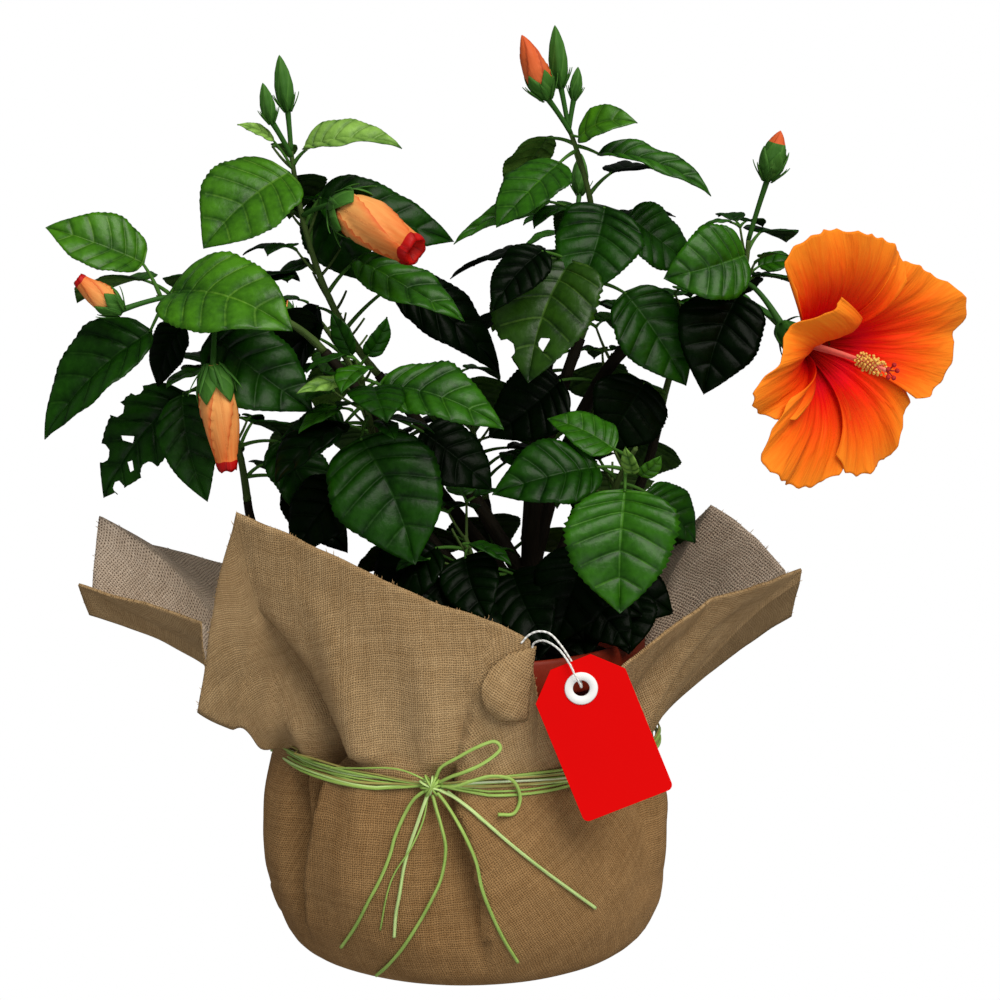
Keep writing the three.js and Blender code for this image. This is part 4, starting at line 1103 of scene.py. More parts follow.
MASSES = {
    "upper_left": dict(
        tip=(-90, 0, 424), seed=11,
        leaves=[
            leaf(0.78, (-90, -6, 409), (-133, -25, 371), 54, (-1, -3, 2), "bright"),
            leaf(0.92, (-83, -2, 420), (-32, -10, 421), 26, (0, -1, 2), "young", 0.14, 0.25),
            leaf(0.7, (-76, 2, 396), (-6, 10, 372), 36, (0, -3, 2), "dark", 0.08),
            leaf(0.62, (-80, 20, 394), (-54, 26, 350), 40, (1, -3, 1), "dark"),
            leaf(0.42, (-57, 2, 364), (0, -28, 334), 34, (0, -1, 2), "mid"),
            leaf(0.25, (-38, 18, 350), (18, 22, 301), 32, (1, -2, 1), "black", 0.16),
            leaf(0.5, (-82, 22, 360), (-101, 26, 352), 14, (0, -1, 2), "dark"),
            leaf(0.3, (-78, 18, 338), (-90, 24, 300), 26, (-1, -1, 1), "black"),
            leaf(0.9, (-98, -2, 425), (-116, -10, 433), 8, (0, -1, 1), "young"),
        ],
        buds=[bud(0.97, (-91, 0, 440), (-95, 0, 468), 5), bud(0.95, (-99, -6, 434), (-103, -8, 454), 4),
              bud(0.74, (-66, -20, 394), (-24, -48, 371), 13, 1.0)],
        fill=dict(leaves=8, start=20, end=170, long=46), shoots=7,
    ),
    "left": dict(
        tip=(-156, -36, 347), seed=23,
        leaves=[
            leaf(0.98, (-162, -32, 364), (-212, -30, 382), 34, (0, -2, 2), "bright", 0.1, 0.12),
            leaf(0.9, (-149, -40, 350), (-84, -74, 334), 54, (0, -3, 3), "bright", 0.12),
            leaf(0.95, (-158, -40, 331), (-213, -46, 276), 44, (-2, -3, 2), "dark", 0.05, 0.2),
            leaf(0.8, (-146, -14, 332), (-160, -8, 298), 26, (-1, -2, 1), "black"),
            leaf(0.6, (-128, -42, 330), (-76, -54, 291), 48, (1, -2, 1), "dark"),
        ],
        buds=[bud(0.96, (-172, -50, 341), (-193, -52, 358), 7, 0.7),
              bud(0.72, (-125, -64, 316), (-118, -66, 263), 10, 0.9)],
        fill=dict(leaves=8, start=40, end=150, long=46), shoots=5,
    ),
    "lower_left": dict(
        tip=(-128, -12, 304), seed=31,
        leaves=[
            leaf(0.9, (-146, -10, 296), (-190, -6, 239), 42, (-1, -3, 1), "dark", holes=EATEN),
            leaf(0.96, (-145, -28, 297), (-132, -36, 242), 30, (0, -3, 1), "dark"),
            leaf(0.45, (-96, -20, 272), (-72, -36, 228), 34, (1, -2, 1), "dark"),
            leaf(0.2, (-92, -4, 250), (-62, -8, 210), 32, (1, -2, 1), "black"),
        ],
        buds=[], fill=dict(leaves=7, start=60, end=190, long=44), shoots=6,
    ),
    "centre": dict(
        tip=(-52, -60, 316), seed=41,
        leaves=[
            leaf(0.85, (-43, -62, 306), (20, -80, 286), 40, (0, -2, 3), "mid", 0.1, teeth=0.026),
            leaf(0.45, (-52, -66, 280), (-24, -86, 219), 58, (0, -3, 1), "dark"),
            leaf(0.6, (-60, -52, 284), (-94, -44, 275), 30, (-1, -2, 2), "dark"),
            leaf(0.5, (-22, -42, 280), (14, -46, 250), 36, (1, -2, 1), "black"),
            leaf(0.95, (-56, -66, 309), (-82, -82, 304), 12, (0, -1, 2), "young"),
            leaf(1, (-56, -60, 320), (-66, -58, 342), 12, (-1, -2, 0), "dark"),
            leaf(0.98, (-48, -62, 320), (-38, -64, 340), 12, (1, -2, 0), "dark"),
            leaf(0.2, (-58, -54, 256), (-86, -62, 218), 38, (-1, -2, 1), "black"),
        ],
        buds=[], fill=dict(leaves=6, start=150, end=300, long=42), shoots=8,
    ),
    "top": dict(
        tip=(53, 0, 432), seed=53,
        leaves=[
            leaf(0.9, (49, -8, 414), (16, -30, 382), 36, (-1, -2, 2), "mid"),
            leaf(0.6, (44, 0, 394), (-6, -8, 372), 18, (0, -1, 2), "mid"),
            leaf(0.96, (58, -4, 426), (88, -14, 434), 22, (0, -2, 2), "bright", 0.16, 0.1),
            leaf(0.92, (68, -5, 418), (126, -15, 397), 22, (0, -1, 2), "mid", 0.1, 0.25),
            leaf(0.65, (72, -12, 392), (56, -36, 346), 46, (0, -3, 2), "dark"),
            leaf(0.55, (84, 4, 386), (120, 10, 358), 40, (1, -2, 2), "dark"),
            leaf(0.35, (54, -30, 366), (32, -56, 306), 56, (-1, -3, 1), "old", holes=TORN, teeth=0.026),
            leaf(0.3, (82, -12, 348), (114, -20, 300), 42, (1, -3, 1), "dark"),
        ],
        extra=[leaf(0.3, (40, -44, 372), (14, -58, 342), 26, (-1, -3, 1), "black")],
        buds=[bud(0.97, (42, -8, 446), (29, -10, 478), 7, 0.5), bud(1, (49, 0, 452), (46, 0, 483), 5),
              bud(0.99, (56, 0, 446), (58, 0, 462), 3.4)],
        fill=dict(leaves=8, start=20, end=160, long=46), shoots=7,
    ),
    "right": dict(
        tip=(146, -7, 374), seed=61,
        leaves=[
            leaf(0.4, (141, -14, 347), (122, -32, 297), 44, (0, -3, 1), "black"),
            leaf(0.8, (144, -16, 367), (101, -30, 356), 40, (0, -3, 1), "mid", 0.12),
            leaf(0.6, (152, 2, 360), (174, 4, 362), 18, (0, -1, 2), "mid"),
        ],
        buds=[bud(1, (155, -10, 405), (161, -12, 430), 7, 0.35)],
        fill=dict(leaves=7, start=10, end=160, long=44), shoots=4,
    ),
    "front_right": dict(
        tip=(86, -64, 274), seed=71,
        leaves=[
            leaf(0.7, (68, -58, 264), (14, -72, 252), 40, (0, -2, 2), "dark", 0.1),
            leaf(0.85, (76, -54, 272), (42, -42, 286), 28, (0, -2, 3), "mid"),
            leaf(0.75, (80, -78, 256), (77, -98, 197), 58, (0, -3, 1), "mid", teeth=0.032),
            leaf(0.1, (62, -58, 222), (46, -70, 174), 40, (-1, -3, 1), "black"),
            leaf(0.5, (92, -50, 250), (118, -44, 222), 30, (1, -2, 2), "dark"),
            leaf(0.9, (84, -70, 262), (80, -78, 277), 10, (-1, -2, 0), "young"),
            leaf(0.88, (88, -70, 261), (98, -74, 272), 10, (1, -2, 0), "bright"),
        ],
        buds=[], fill=dict(leaves=5, start=40, end=170, long=40), shoots=5,
    ),
    "inner_right": dict(
        tip=(78, 20, 312), seed=83,
        leaves=[
            leaf(0.85, (94, -2, 300), (72, -8, 264), 42, (1, -3, 1), "black"),
            leaf(0.7, (50, -8, 302), (12, -14, 272), 40, (-1, -3, 1), "black"),
        ],
        buds=[], fill=dict(leaves=6, start=20, end=130, long=44), shoots=4,
    ),
    "low": dict(
        tip=(0, -44, 226), seed=89,
        leaves=[
            leaf(0.8, (-14, -52, 222), (-46, -62, 192), 36, (-1, -2, 1), "black"),
            leaf(0.2, (16, -56, 198), (26, -74, 176), 28, (1, -2, 1), "black"),
            leaf(0.5, (-10, -60, 206), (-30, -72, 182), 30, (0, -2, 1), "black"),
        ],
        # Leaves under the crown, all in the black tone of painted shade.
        extra=[
            leaf(0.6, (24, -48, 208), (42, -80, 176), 36, (0, -3, 1), "black"),
            leaf(0.3, (38, -42, 200), (60, -64, 176), 36, (0, -3, 1), "black"),
            leaf(0.4, (50, -34, 204), (92, -46, 184), 34, (0, -3, 2), "black"),
            leaf(0.9, (0, -58, 218), (12, -82, 190), 32, (0, -3, 1), "black"),
            leaf(0.2, (70, -30, 200), (108, -30, 182), 34, (0, -3, 2), "black"),
            leaf(0.5, (60, -50, 196), (84, -66, 172), 30, (0, -3, 2), "black"),
            leaf(-0.8, (34, -48, 194), (37, -74, 167), 34, (0, -3, 1), "black"),
            leaf(-0.7, (56, -38, 194), (62, -66, 166), 36, (0, -3, 1), "black"),
            leaf(-0.6, (78, -32, 196), (84, -54, 166), 36, (0, -3, 1), "black"),
        ],
        buds=[], fill=dict(leaves=7, start=60, end=260, long=38), shoots=6,
    ),
    "back_middle": dict(
        tip=(60, 90, 376), seed=97, leaves=[
            leaf(-0.7, (36, 74, 270), (42, 112, 246), 42, (0, 3, 2), "mid"),
            leaf(-0.85, (58, 76, 296), (84, 106, 272), 42, (1, 3, 2), "dark"),
            leaf(-0.8, (22, 70, 290), (-4, 102, 266), 42, (-1, 3, 2), "dark"),
        ],
        buds=[bud(1, (62, 98, 392), (63, 102, 414), 5)],
        fill=dict(leaves=16, start=0, end=360, long=50), shoots=8,
    ),
    "back_left": dict(
        tip=(-84, 92, 324), seed=101, leaves=[
            leaf(-0.6, (-30, 78, 236), (-34, 114, 208), 42, (0, 3, 2), "mid"),
            leaf(-0.6, (-62, 62, 232), (-98, 76, 206), 40, (-2, 2, 2), "dark"),
            leaf(-0.85, (-48, 90, 262), (-64, 124, 236), 42, (-1, 3, 2), "dark"),
            leaf(-0.9, (-74, 72, 268), (-112, 84, 246), 40, (-2, 2, 2), "dark"),
        ],
        buds=[bud(0.95, (-100, 110, 320), (-113, 122, 336), 6, 0.6)],
        fill=dict(leaves=13, start=0, end=360, long=52), shoots=8,
    ),
    "back_right": dict(
        tip=(128, 84, 334), seed=113, leaves=[
            leaf(-0.5, (72, 46, 214), (104, 66, 194), 36, (2, 2, 2), "dark"),
            leaf(-0.75, (84, 66, 240), (78, 104, 216), 40, (0, 3, 2), "mid"),
            leaf(-0.7, (100, 50, 226), (118, 66, 194), 38, (2, 1, 2), "dark"),
            leaf(-0.9, (104, 84, 256), (92, 116, 228), 40, (1, 2, 2), "dark"),
        ], buds=[],
        fill=dict(leaves=17, start=0, end=360, long=50), shoots=8,
    ),
    "back_low": dict(
        tip=(-4, 126, 282), seed=127, leaves=[
            leaf(-0.7, (8, 66, 216), (16, 100, 186), 42, (0, 3, 2), "dark"),
            leaf(-0.55, (-8, 70, 206), (-36, 96, 184), 42, (-1, 3, 2), "dark"),
            leaf(-0.6, (40, 56, 210), (64, 88, 186), 38, (1, 3, 2), "mid"),
            leaf(-0.3, (-20, 34, 204), (-62, 50, 186), 38, (-2, 2, 2), "dark"),
        ], buds=[],
        fill=dict(leaves=16, start=0, end=360, long=52), shoots=8,
    ),
}

# Leaf tones: upper side, veins on it, underside, and gloss. The black tone is painted shade for leaves deep
# in the crown, and dark is the darker green of older leaves with painted shade besides.
TONES = {
    "black": [(7, 20, 3), (10, 26, 6), (18, 32, 12), 0.05],
    "dark": [(20, 54, 3), (28, 66, 8), (42, 70, 22), 0.14],
    "mid": [(32, 76, 5), (50, 100, 14), (62, 98, 32), 0.22],
    "bright": [(46, 94, 8), (70, 118, 24), (80, 118, 40), 0.28],
    "young": [(94, 138, 52), (114, 156, 70), (104, 144, 66), 0.15],
    "old": [(29, 58, 8), (52, 84, 22), (62, 84, 30), 0.25],
}
TONE_NAMES = list(TONES)
# Drawn leaves lie inside the crown, so most take the dark and black tones, which carry painted shade.
FILL_TONES = ("dark", "black", "dark", "mid")
SHOOT_TONES = ("mid", "dark", "dark")


def leaf_finish(name, color, roughness, shine, seed):
    """A green with painted shade in the hollows by the veins and painted light on the swells between them,
    down to the small swells between the finest of them, over random clouds of tone.
    """
    finish = Finish(name, roughness, Specular_IOR_Level=shine)
    swell, _, _ = finish.parts(finish.place("UV"))
    cloud = finish.noise(30.0 + seed, 3.0)
    cells = finish.noise(300.0, 3.0)
    red, green, blue = color
    # The darker colour is painted shade in the hollows and the lighter one painted light on the swells,
    # besides the range of the random clouds.
    darker = linear(red * 0.5, green * 0.62, blue * 0.5)
    lighter = linear(red * 1.4, green * 1.26, blue * 1.5)
    share = (swell * 0.5 + cloud * 1.5 - 0.5 + (cells - 0.5) * 0.9).clamp()
    relief = cells * 0.5 + finish.noise(90.0, 2.0)
    color = finish.mix(share, darker, lighter)
    return finish.wear(color, cells * 0.1 + (roughness - 0.04), relief, 0.35, 0.0016)


def leaf_finishes():
    """Upper side, veins, and the underside of each, for every tone."""
    found = []
    for number, (name, (upper, vein, under, shine)) in enumerate(TONES.items()):
        vein_under = tuple(part * 1.15 for part in under)
        found.append(leaf_finish("leaf_" + name, upper, 0.38, shine, number))
        found.append(leaf_finish("leaf_under_" + name, under, 0.75, 0.08, number))
        found.append(leaf_finish("vein_" + name, vein, 0.45, shine, number))
        found.append(leaf_finish("vein_under_" + name, vein_under, 0.75, 0.08, number))
    return found


LEAF_FINISHES = leaf_finishes()
# Columns across a blade, and its breadth along it
COLUMNS = np.array([-1, -0.88, -0.66, -0.42, -0.2, -0.026, 0, 0.026, 0.2, 0.42, 0.66, 0.88, 1])
BREADTHS = [(0, 0), (0.02, 0.34), (0.08, 0.66), (0.18, 0.89), (0.32, 1), (0.45, 0.98), (0.6, 0.85),
            (0.74, 0.62), (0.86, 0.36), (0.94, 0.16), (1, 0)]
# A leaf longer than this has more side veins and a thicker stalk
LARGE_LEAF = 34


def blade_rows(pairs):
    """Rows that run out along the side veins: share at the rim, vein, tooth and bulge of each."""
    rows = [(0.0, 0, 0.0, 0.0), (0.035, 0, 0.0, 0.3)]
    pitch = 0.86 / (pairs - 0.35)
    for pair in range(pairs):
        start = 0.06 + pitch * pair
        rows += [(start, 1, 1.0, 0.0), (start + 0.006, 0, 0.8, 0.1)]
        rows += [(start + pitch * part, 0, tooth, swell) for part, tooth, swell in (
            (0.2, -1.0, 0.7), (0.34, 0.9, 0.95), (0.52, -0.9, 1.0), (0.68, 1.0, 0.95), (0.84, -1.0, 0.7))]
        rows.append((start + pitch - 0.006, 0, 0.8, 0.1))
    rows = [row for row in rows if row[0] < 0.98]
    rows.append((1.0, 0, 0.0, 0.0))
    return np.array(rows)


def blade_breadth(share):
    return np.interp(share, *zip(*BREADTHS))


def blade_grid(pairs):
    """A flat blade, from 0 to 1 along and -1 to 1 across: relief, teeth, swell, faces and their slots."""
    rows = blade_rows(pairs)
    rim, vein, tooth, bulge = rows.T
    start = rim - 0.19 * np.sin(np.pi * rim)
    out = abs(COLUMNS)[None, :]
    along = start[:, None] + (rim - start)[:, None] * out ** 1.25
    edge = blade_breadth(rim)
    edge[-1] = 0.0
    across = edge[:, None] * COLUMNS[None, :]
    pillow = np.sin(np.pi * np.clip(out, 0, 1)) ** 0.6
    relief = bulge[:, None] * pillow * 0.02 - vein[:, None] * (1 - out) * 0.006
    relief = relief - np.exp(-((out / 0.07) ** 2)) * 0.01 * (1 - rim[:, None])
    slots = []
    for row in range(len(rows) - 1):
        for column in range(len(COLUMNS) - 1):
            beside_vein = (vein[row] or vein[row + 1]) and 1 <= column <= len(COLUMNS) - 3
            midrib = column in (5, 6) and row < len(rows) - 4
            slots.append(2 if beside_vein or midrib else 0)
    teeth = tooth[:, None] * out ** 6 * np.sin(np.pi * rim[:, None]) ** 0.3
    # The swell goes into the flat map, where the leaf finish reads it for painted shade in the hollows and
    # painted light on the swells.
    swell = bulge[:, None] * np.where(out > 0.5, 1.0, pillow)
    faces = np.array(grid(len(rows), len(COLUMNS)))
    return [part.ravel() for part in (along, across, relief, teeth, swell)] + [faces, np.array(slots)]


BLADES = {pairs: blade_grid(pairs) for pairs in (4, 6)}
PROXY_SHARES = (0.03, 0.2, 0.4, 0.6, 0.8, 0.97)


def holed(row, along, across, faces):
    """The blade's places drawn away from each hole, and which faces are left."""
    long = (Vector(row["tip"]) - Vector(row["foot"])).length
    half = row["width"] / 2
    kept = np.ones(len(faces), dtype=bool)
    for share, place, radius in row["holes"]:
        middle = place * float(blade_breadth(share))
        ahead, aside = along - share, (across - middle) * half / long
        gap = np.hypot(ahead, aside) + 1e-9
        inside = gap < radius
        kept &= ~inside[faces].all(axis=1)
        push = np.where(inside, radius / gap, 1.0)
        along = share + ahead * push
        across = middle + aside * push * long / half
    return along, across, kept


def blade(shape, row, draw, pairs):
    """One blade, laid out on the line from its foot to its tip as the part lays it."""
    along, across, relief, teeth, swell, faces, slots = BLADES[pairs]
    foot = Vector(row["foot"])
    long, axis, up, side = stand(foot, Vector(row["tip"]), row["upper"])
    half, arch = row["width"] / 2, row["arch"]
    along, across, kept = holed(row, along, across, faces)
    phases = [2 * pi * draw() for _ in range(4)]
    lean = 4 * arch * (1 - 2 * along)
    norm = np.sqrt(1 + lean ** 2)
    axis, up, side = (np.array(vector) for vector in (axis, up, side))
    rise = (up[None, :] - axis[None, :] * lean[:, None]) / norm[:, None]
    uneven = 1 + 0.07 * np.sin(5 * along + phases[2] + np.sign(across)) * np.sin(np.pi * along)
    uneven += 0.02 * np.sin(15 * along + phases[3] + 2 * np.sign(across)) + row["teeth"] * teeth
    x = across * half * uneven
    edge = abs(across) ** 1.6
    wave = np.where(across > 0, np.sin(8 * along + phases[0]), np.sin(8 * along + phases[1]))
    wave = row["wave"] * long * edge * (0.026 * wave + 0.011 * np.sin(21 * along + phases[2] + 2 * across))
    fold = BLADE_FOLD + row["fold"] + 0.08 * (draw() - 0.5)
    curl = -0.09 * half * abs(across) ** 3 + 0.05 * long * (draw() - 0.5) * across * along
    quilt = relief * long * (0.6 + 0.8 * draw())
    z = abs(x) * fold + quilt + wave + curl
    sway = 0.05 * long * sin(phases[3]) * np.sin(np.pi * along)
    spots = (np.array(foot)[None, :] + axis[None, :] * (long * along)[:, None]
             + up[None, :] * (4 * arch * long * along * (1 - along))[:, None]
             + side[None, :] * (x + sway)[:, None] + rise * z[:, None])
    base = TONE_NAMES.index(row["tone"]) * 4
    shape.add(spots * MM, [tuple(map(int, face)) for face in faces[kept]],
              [int(base + slot) for slot in slots[kept]], np.stack([swell, along], axis=1))


def blade_proxy(row):
    """A coarse blade that says what a leaf would touch."""
    foot = Vector(row["foot"])
    long, axis, up, side = stand(foot, Vector(row["tip"]), row["upper"])
    corners = []
    for share in PROXY_SHARES:
        arch = up * (4 * row["arch"] * long * share * (1 - share))
        half = row["width"] / 2 * float(blade_breadth(share))
        for place in (-1, 0, 1):
            lift = up * (abs(place) * half * BLADE_FOLD)
            corners.append(foot + axis * (long * share) + arch + side * (half * place) + lift)
    return BVHTree.FromPolygons(corners, grid(len(PROXY_SHARES), 3))


def twig_path(name):
    """The twig of a mass goes on from the end of its bough."""
    _, turn, end = (Vector(point) for point in BOUGHS[name]["path"])
    onward = (end - turn).normalized()
    start = end + onward * CLEARANCE
    tip = Vector(MASSES[name]["tip"])
    return [start, start + onward * (0.45 * (tip - start).length), tip]


def heading(direction, rise):
    return Vector((cos(direction) * cos(rise), sin(direction) * cos(rise), sin(rise)))


def fill_leaves(name):
    """Leaves drawn by the seed, as in the part."""
    mass = MASSES[name]
    draw = Draw(mass["seed"])
    count, start, end, long = (mass["fill"][key] for key in ("leaves", "start", "end", "long"))
    path = twig_path(name)
    rows = []
    for number in range(count):
        root = bend(path, 0.12 + 0.86 * (number + 0.5) / count)
        direction = radians(start + (end - start) * ((0.382 * number + 0.3 * draw()) % 1))
        climb = radians(10 + 40 * draw())
        droop = climb - radians(35 + 40 * draw())
        foot = root + heading(direction, climb) * (14 + 10 * draw())
        length = long * (0.8 + 0.4 * draw())
        tip = foot + heading(direction, droop) * length
        row = leaf(0, foot, tip, length * 0.72, None, FILL_TONES[number % 4], 0.08)
        row.update(root=root, upper=heading(direction, droop + pi / 2))
        rows.append(row)
    return rows


def shoot_leaves(name, twigs):
    """Finer side shoots within the mass, each with two or three small leaves."""
    mass = MASSES[name]
    draw = Draw(mass["seed"] + 500)
    path = twig_path(name)
    span = (mass["fill"]["start"], mass["fill"]["end"])
    rows = []
    for number in range(mass["shoots"]):
        root = bend(path, 0.15 + 0.8 * draw())
        direction = radians(span[0] + (span[1] - span[0]) * ((0.618 * number + 0.2 * draw()) % 1))
        climb = radians(15 + 45 * draw())
        end = root + heading(direction, climb) * (12 + 12 * draw())
        twigs.append([root, (root + end) / 2 + Vector((0, 0, -2)), end])
        for part in range(3):
            turn = direction + radians(-70 + 70 * part + 20 * draw())
            rise = climb * 0.5 - radians(20 + 25 * draw())
            foot = end + heading(turn, climb * 0.6) * 5
            length = 17 + 14 * draw()
            tip = foot + heading(turn, rise) * length
            row = leaf(0, foot, tip, length * 0.66, None, SHOOT_TONES[(part + number) % 3], 0.1)
            row.update(root=end, upper=heading(turn, rise + pi / 2))
            rows.append(row)
    return rows


twig_shape = Shape()
petiole_shape = Shape()
# Gaps in the crown where the photo shows white: sideways place and height on the stem's plane, and radius
OPEN_SKY = [
    [-75, 358, 15], [-66, 332, 15], [-31, 326, 22], [-12, 322, 14], [-34, 340, 12], [-10, 420, 26],
    [2, 395, 16], [46, 290, 9], [90, 268, 8], [118, 262, 18], [140, 285, 18], [94, 357, 13], [55, 291, 9],
    [-12, 213, 13], [28, 226, 8], [130, 235, 20], [-138, 391, 14], [-118, 419, 12],
]


def in_sky(row):
    """Whether a small leaf would close one of the gaps, as the camera sees it."""
    foot, tip = Vector(row["foot"]), Vector(row["tip"])
    middle = (foot + tip) / 2
    across, away, up = (part / MM for part in CAMERA_PLACE)
    scale = away / (away - middle.y)
    x = across + (middle.x - across) * scale
    z = up + (middle.z - up) * scale
    reach = 0.3 * (tip - foot).length
    return any((x - gap[0]) ** 2 + (z - gap[1]) ** 2 < (gap[2] + reach) ** 2 for gap in OPEN_SKY)


def limb_trees():
    """What the leaves keep clear of before any is placed: the boughs and the twigs."""
    trees = []
    for name, bough in BOUGHS.items():
        for path, radius in ((bough["path"], bough["tip"]), (twig_path(name), TWIG_RADIUS)):
            rough = Shape()
            tube(rough, bend_line(path, 8), radius, 5)
            trees.append(BVHTree.FromPolygons(rough.corners, rough.faces))
    return trees


taken = limb_trees()


def grow_leaf(shape, row, draw, keep=False):
    """Adds one leaf and its petiole, unless it would touch what is there."""
    proxy = blade_proxy(row)
    if not keep and (in_sky(row) or any(proxy.overlap(other) for other in taken)):
        return
    taken.append(proxy)
    root, foot, tip = (Vector(row[key]) for key in ("root", "foot", "tip"))
    large = (tip - foot).length > LARGE_LEAF
    blade(shape, row, draw, 6 if large else 4)
    axis = (tip - foot).normalized()
    middle = (root + foot) / 2 + Vector((0, 0, 0.1 * (foot - root).length))
    line = bend_line([root * MM, middle * MM, (foot + axis * 1.5) * MM], 8)
    radius = PETIOLE_RADIUS * (1.0 if large else 0.75)
    tube(petiole_shape, line, taper(radius * 1.35, radius * 0.8, 8), 8)


def grow_mass(name):
    """Leaves that the photo shows, then those drawn by the seed where there is room, and the twigs."""
    mass = MASSES[name]
    twig, bough = twig_path(name), [Vector(point) for point in BOUGHS[name]["path"]]
    draw = Draw(mass["seed"] + 900)
    shape = Shape()
    for row in mass["leaves"] + mass.get("extra", []):
        root = bend(twig, row["at"]) if row["at"] > 0 else bend(bough, -row["at"])
        row.update(root=root, upper=Vector(row["looks"]))
        grow_leaf(shape, row, draw, keep=True)
    side_twigs = []
    for row in fill_leaves(name) + shoot_leaves(name, side_twigs):
        grow_leaf(shape, row, draw)
    for side in side_twigs:
        tube(twig_shape, bend_line([point * MM for point in side], 6), taper(0.9, 0.6, 6), 8)
    line = bend_line([point * MM for point in twig], TWIG_STEPS)
    widths = taper(TWIG_RADIUS, TWIG_TIP_RADIUS, TWIG_STEPS)
    tube(twig_shape, line, widths, 12, relief=bark_relief(mass["seed"]))
    piece = shape.make("leaves_" + name, *LEAF_FINISHES)
    modify(piece, "SOLIDIFY", thickness=0.5 * MM, offset=-1, material_offset=1, use_rim=True)
    return settle(piece, "foliage", "foliage_" + name)


for mass_name in MASSES:
    grow_mass(mass_name)


# Buds
def bud_finish(name, low, high, line, roughness):
    """Colour that runs from the foot of a bud to its end, darker along the edges of the furled petals."""
    finish = Finish(name, roughness, Specular_IOR_Level=0.2)
    around, along, _ = finish.parts(finish.place("UV"))
    streaks = finish.noise(1.0, 3.0, finish.scaled((30, 4, 1), "UV"))
    edge = (around * 5 + along * 1.3).math("FRACT") ** 6
    color = finish.mix((along + streaks * 0.5 - 0.25).clamp(), linear(*low), linear(*high))
    color = finish.mix((edge * 0.75 + streaks * 0.2).clamp(), color, linear(*line))
    return finish.wear(color, None, streaks, 0.4, 0.0007)


bud_petal = bud_finish("bud_petal", (236, 180, 104), (216, 112, 50), (200, 76, 30), 0.6)
bud_end = bud_finish("bud_end", (214, 34, 18), (176, 8, 10), (120, 4, 8), 0.5)
bud_brown = bud_finish("bud_brown", (206, 104, 56), (212, 92, 44), (156, 56, 28), 0.6)
bud_green = bud_finish("bud_green", (42, 84, 26), (58, 104, 34), (78, 124, 50), 0.6)
# How ripe a bud is when its petals show, when they show all along, and when it opens
BUD_COLORS = 0.25
BUD_HALF = 0.4
BUD_OPENS = 0.6
BUD_RINGS = 32
BUD_SIDES = 40
BUD_GREEN_RINGS = 24
BUD_END_RING = 28
# Swell along a bud that opens and along one that doesn't, and depth and size of the rings inside the first
RIPE_SWELL = [
    (0, 0.5), (0.06, 0.66), (0.2, 0.86), (0.42, 1), (0.7, 0.84), (0.88, 0.68), (0.95, 0.7), (1, 0.6)]
GREEN_SWELL = [
    (0, 0.45), (0.08, 0.74), (0.25, 0.96), (0.45, 1), (0.7, 0.76), (0.88, 0.4), (0.96, 0.18), (1, 0.02)]
BUD_INSIDE = [(-0.01, 0.44), (-0.05, 0.34), (-0.09, 0.2), (-0.06, 0.08)]
SEPAL_WIDTHS = [(0, 0.7), (0.3, 1), (0.6, 0.8), (0.85, 0.36), (1, 0.02)]
SEPAL_COVER = [(0.25, 0.85), (0.35, 0.62), (0.5, 0.42), (0.7, 0.45), (1.0, 0.3)]


def bud_body(shape, foot, stance, radius, ripe):
    """A furled cone of petals, whose edges wind round it, open at the end when it is ripe."""
    long, axis, up, across = stance
    opens, colored = ripe > BUD_OPENS, ripe >= BUD_COLORS
    corners, flat = [], []
    turns = [(angle, side / BUD_SIDES) for side, angle in enumerate(angles(BUD_SIDES))]
    for ring in range(BUD_RINGS + 1):
        share = ring / BUD_RINGS
        swell = np.interp(share, *zip(*(RIPE_SWELL if opens else GREEN_SWELL)))
        swell *= 1 - 0.22 * max(0.0, share - 0.6) * 2.5 if opens and ripe < 1 else 1
        swell *= 1 - 0.45 * max(0.0, 1 - share / 0.2) if colored else 1
        for angle, place in turns:
            furl = (place * 5 + share * 1.3) % 1
            step = 0.86 + 0.16 * furl if colored else 0.95 + 0.07 * cos(5 * angle + share)
            ragged = 0.012 * long * sin(5 * angle + 1) * max(0.0, share - 0.8) * 4 if opens else 0
            out = spoke(across, up, angle) * (radius * swell * step)
            corners.append((foot + axis * (long * share + ragged) + out) * MM)
            flat.append((place, share))
    for inner, (depth, size) in enumerate(BUD_INSIDE if opens else []):
        for angle, place in turns:
            furl = (place * 2 + inner * 0.3) % 1
            reach = radius * size * (0.9 + 0.2 * furl) * (1 if ripe == 1 else 0.78)
            corners.append((foot + axis * (long * (1 + depth)) + spoke(across, up, angle) * reach) * MM)
            flat.append((place, 0.5 + inner * 0.12))
    rings = len(corners) // BUD_SIDES
    slots = []
    for ring in range(rings - 1):
        green = not colored or (ripe < BUD_HALF and ring < BUD_GREEN_RINGS)
        slot = int(ring > BUD_END_RING) if ripe >= BUD_OPENS else 2 if green else 3
        slots += [slot] * BUD_SIDES
    shape.add(corners, capped(rings, BUD_SIDES), slots + [slots[0], slots[-1]], flat)


def bud_leaf(shape, foot, out, axis, long, width, bow, spread=0.0):
    """One pointed sepal or bract: bowed round the bud, and leaning outwards by its spread."""
    side = axis.cross(out).normalized()
    corners, flat = [], []
    rows, columns = 9, 5
    for row in range(rows + 1):
        share = row / rows
        half = width / 2 * float(np.interp(share, *zip(*SEPAL_WIDTHS)))
        reach = out * (bow * sin(pi * share * 0.6) + spread * share ** 1.5)
        for column in range(columns):
            place = column / (columns - 1) * 2 - 1
            cup = out * (-0.32 * half * place ** 2)
            corners.append((foot + axis * (long * share) + reach + side * (half * place) + cup) * MM)
            flat.append((place * 0.1 + 0.1, share))
    shape.add(corners, grid(rows + 1, columns), 0, flat)


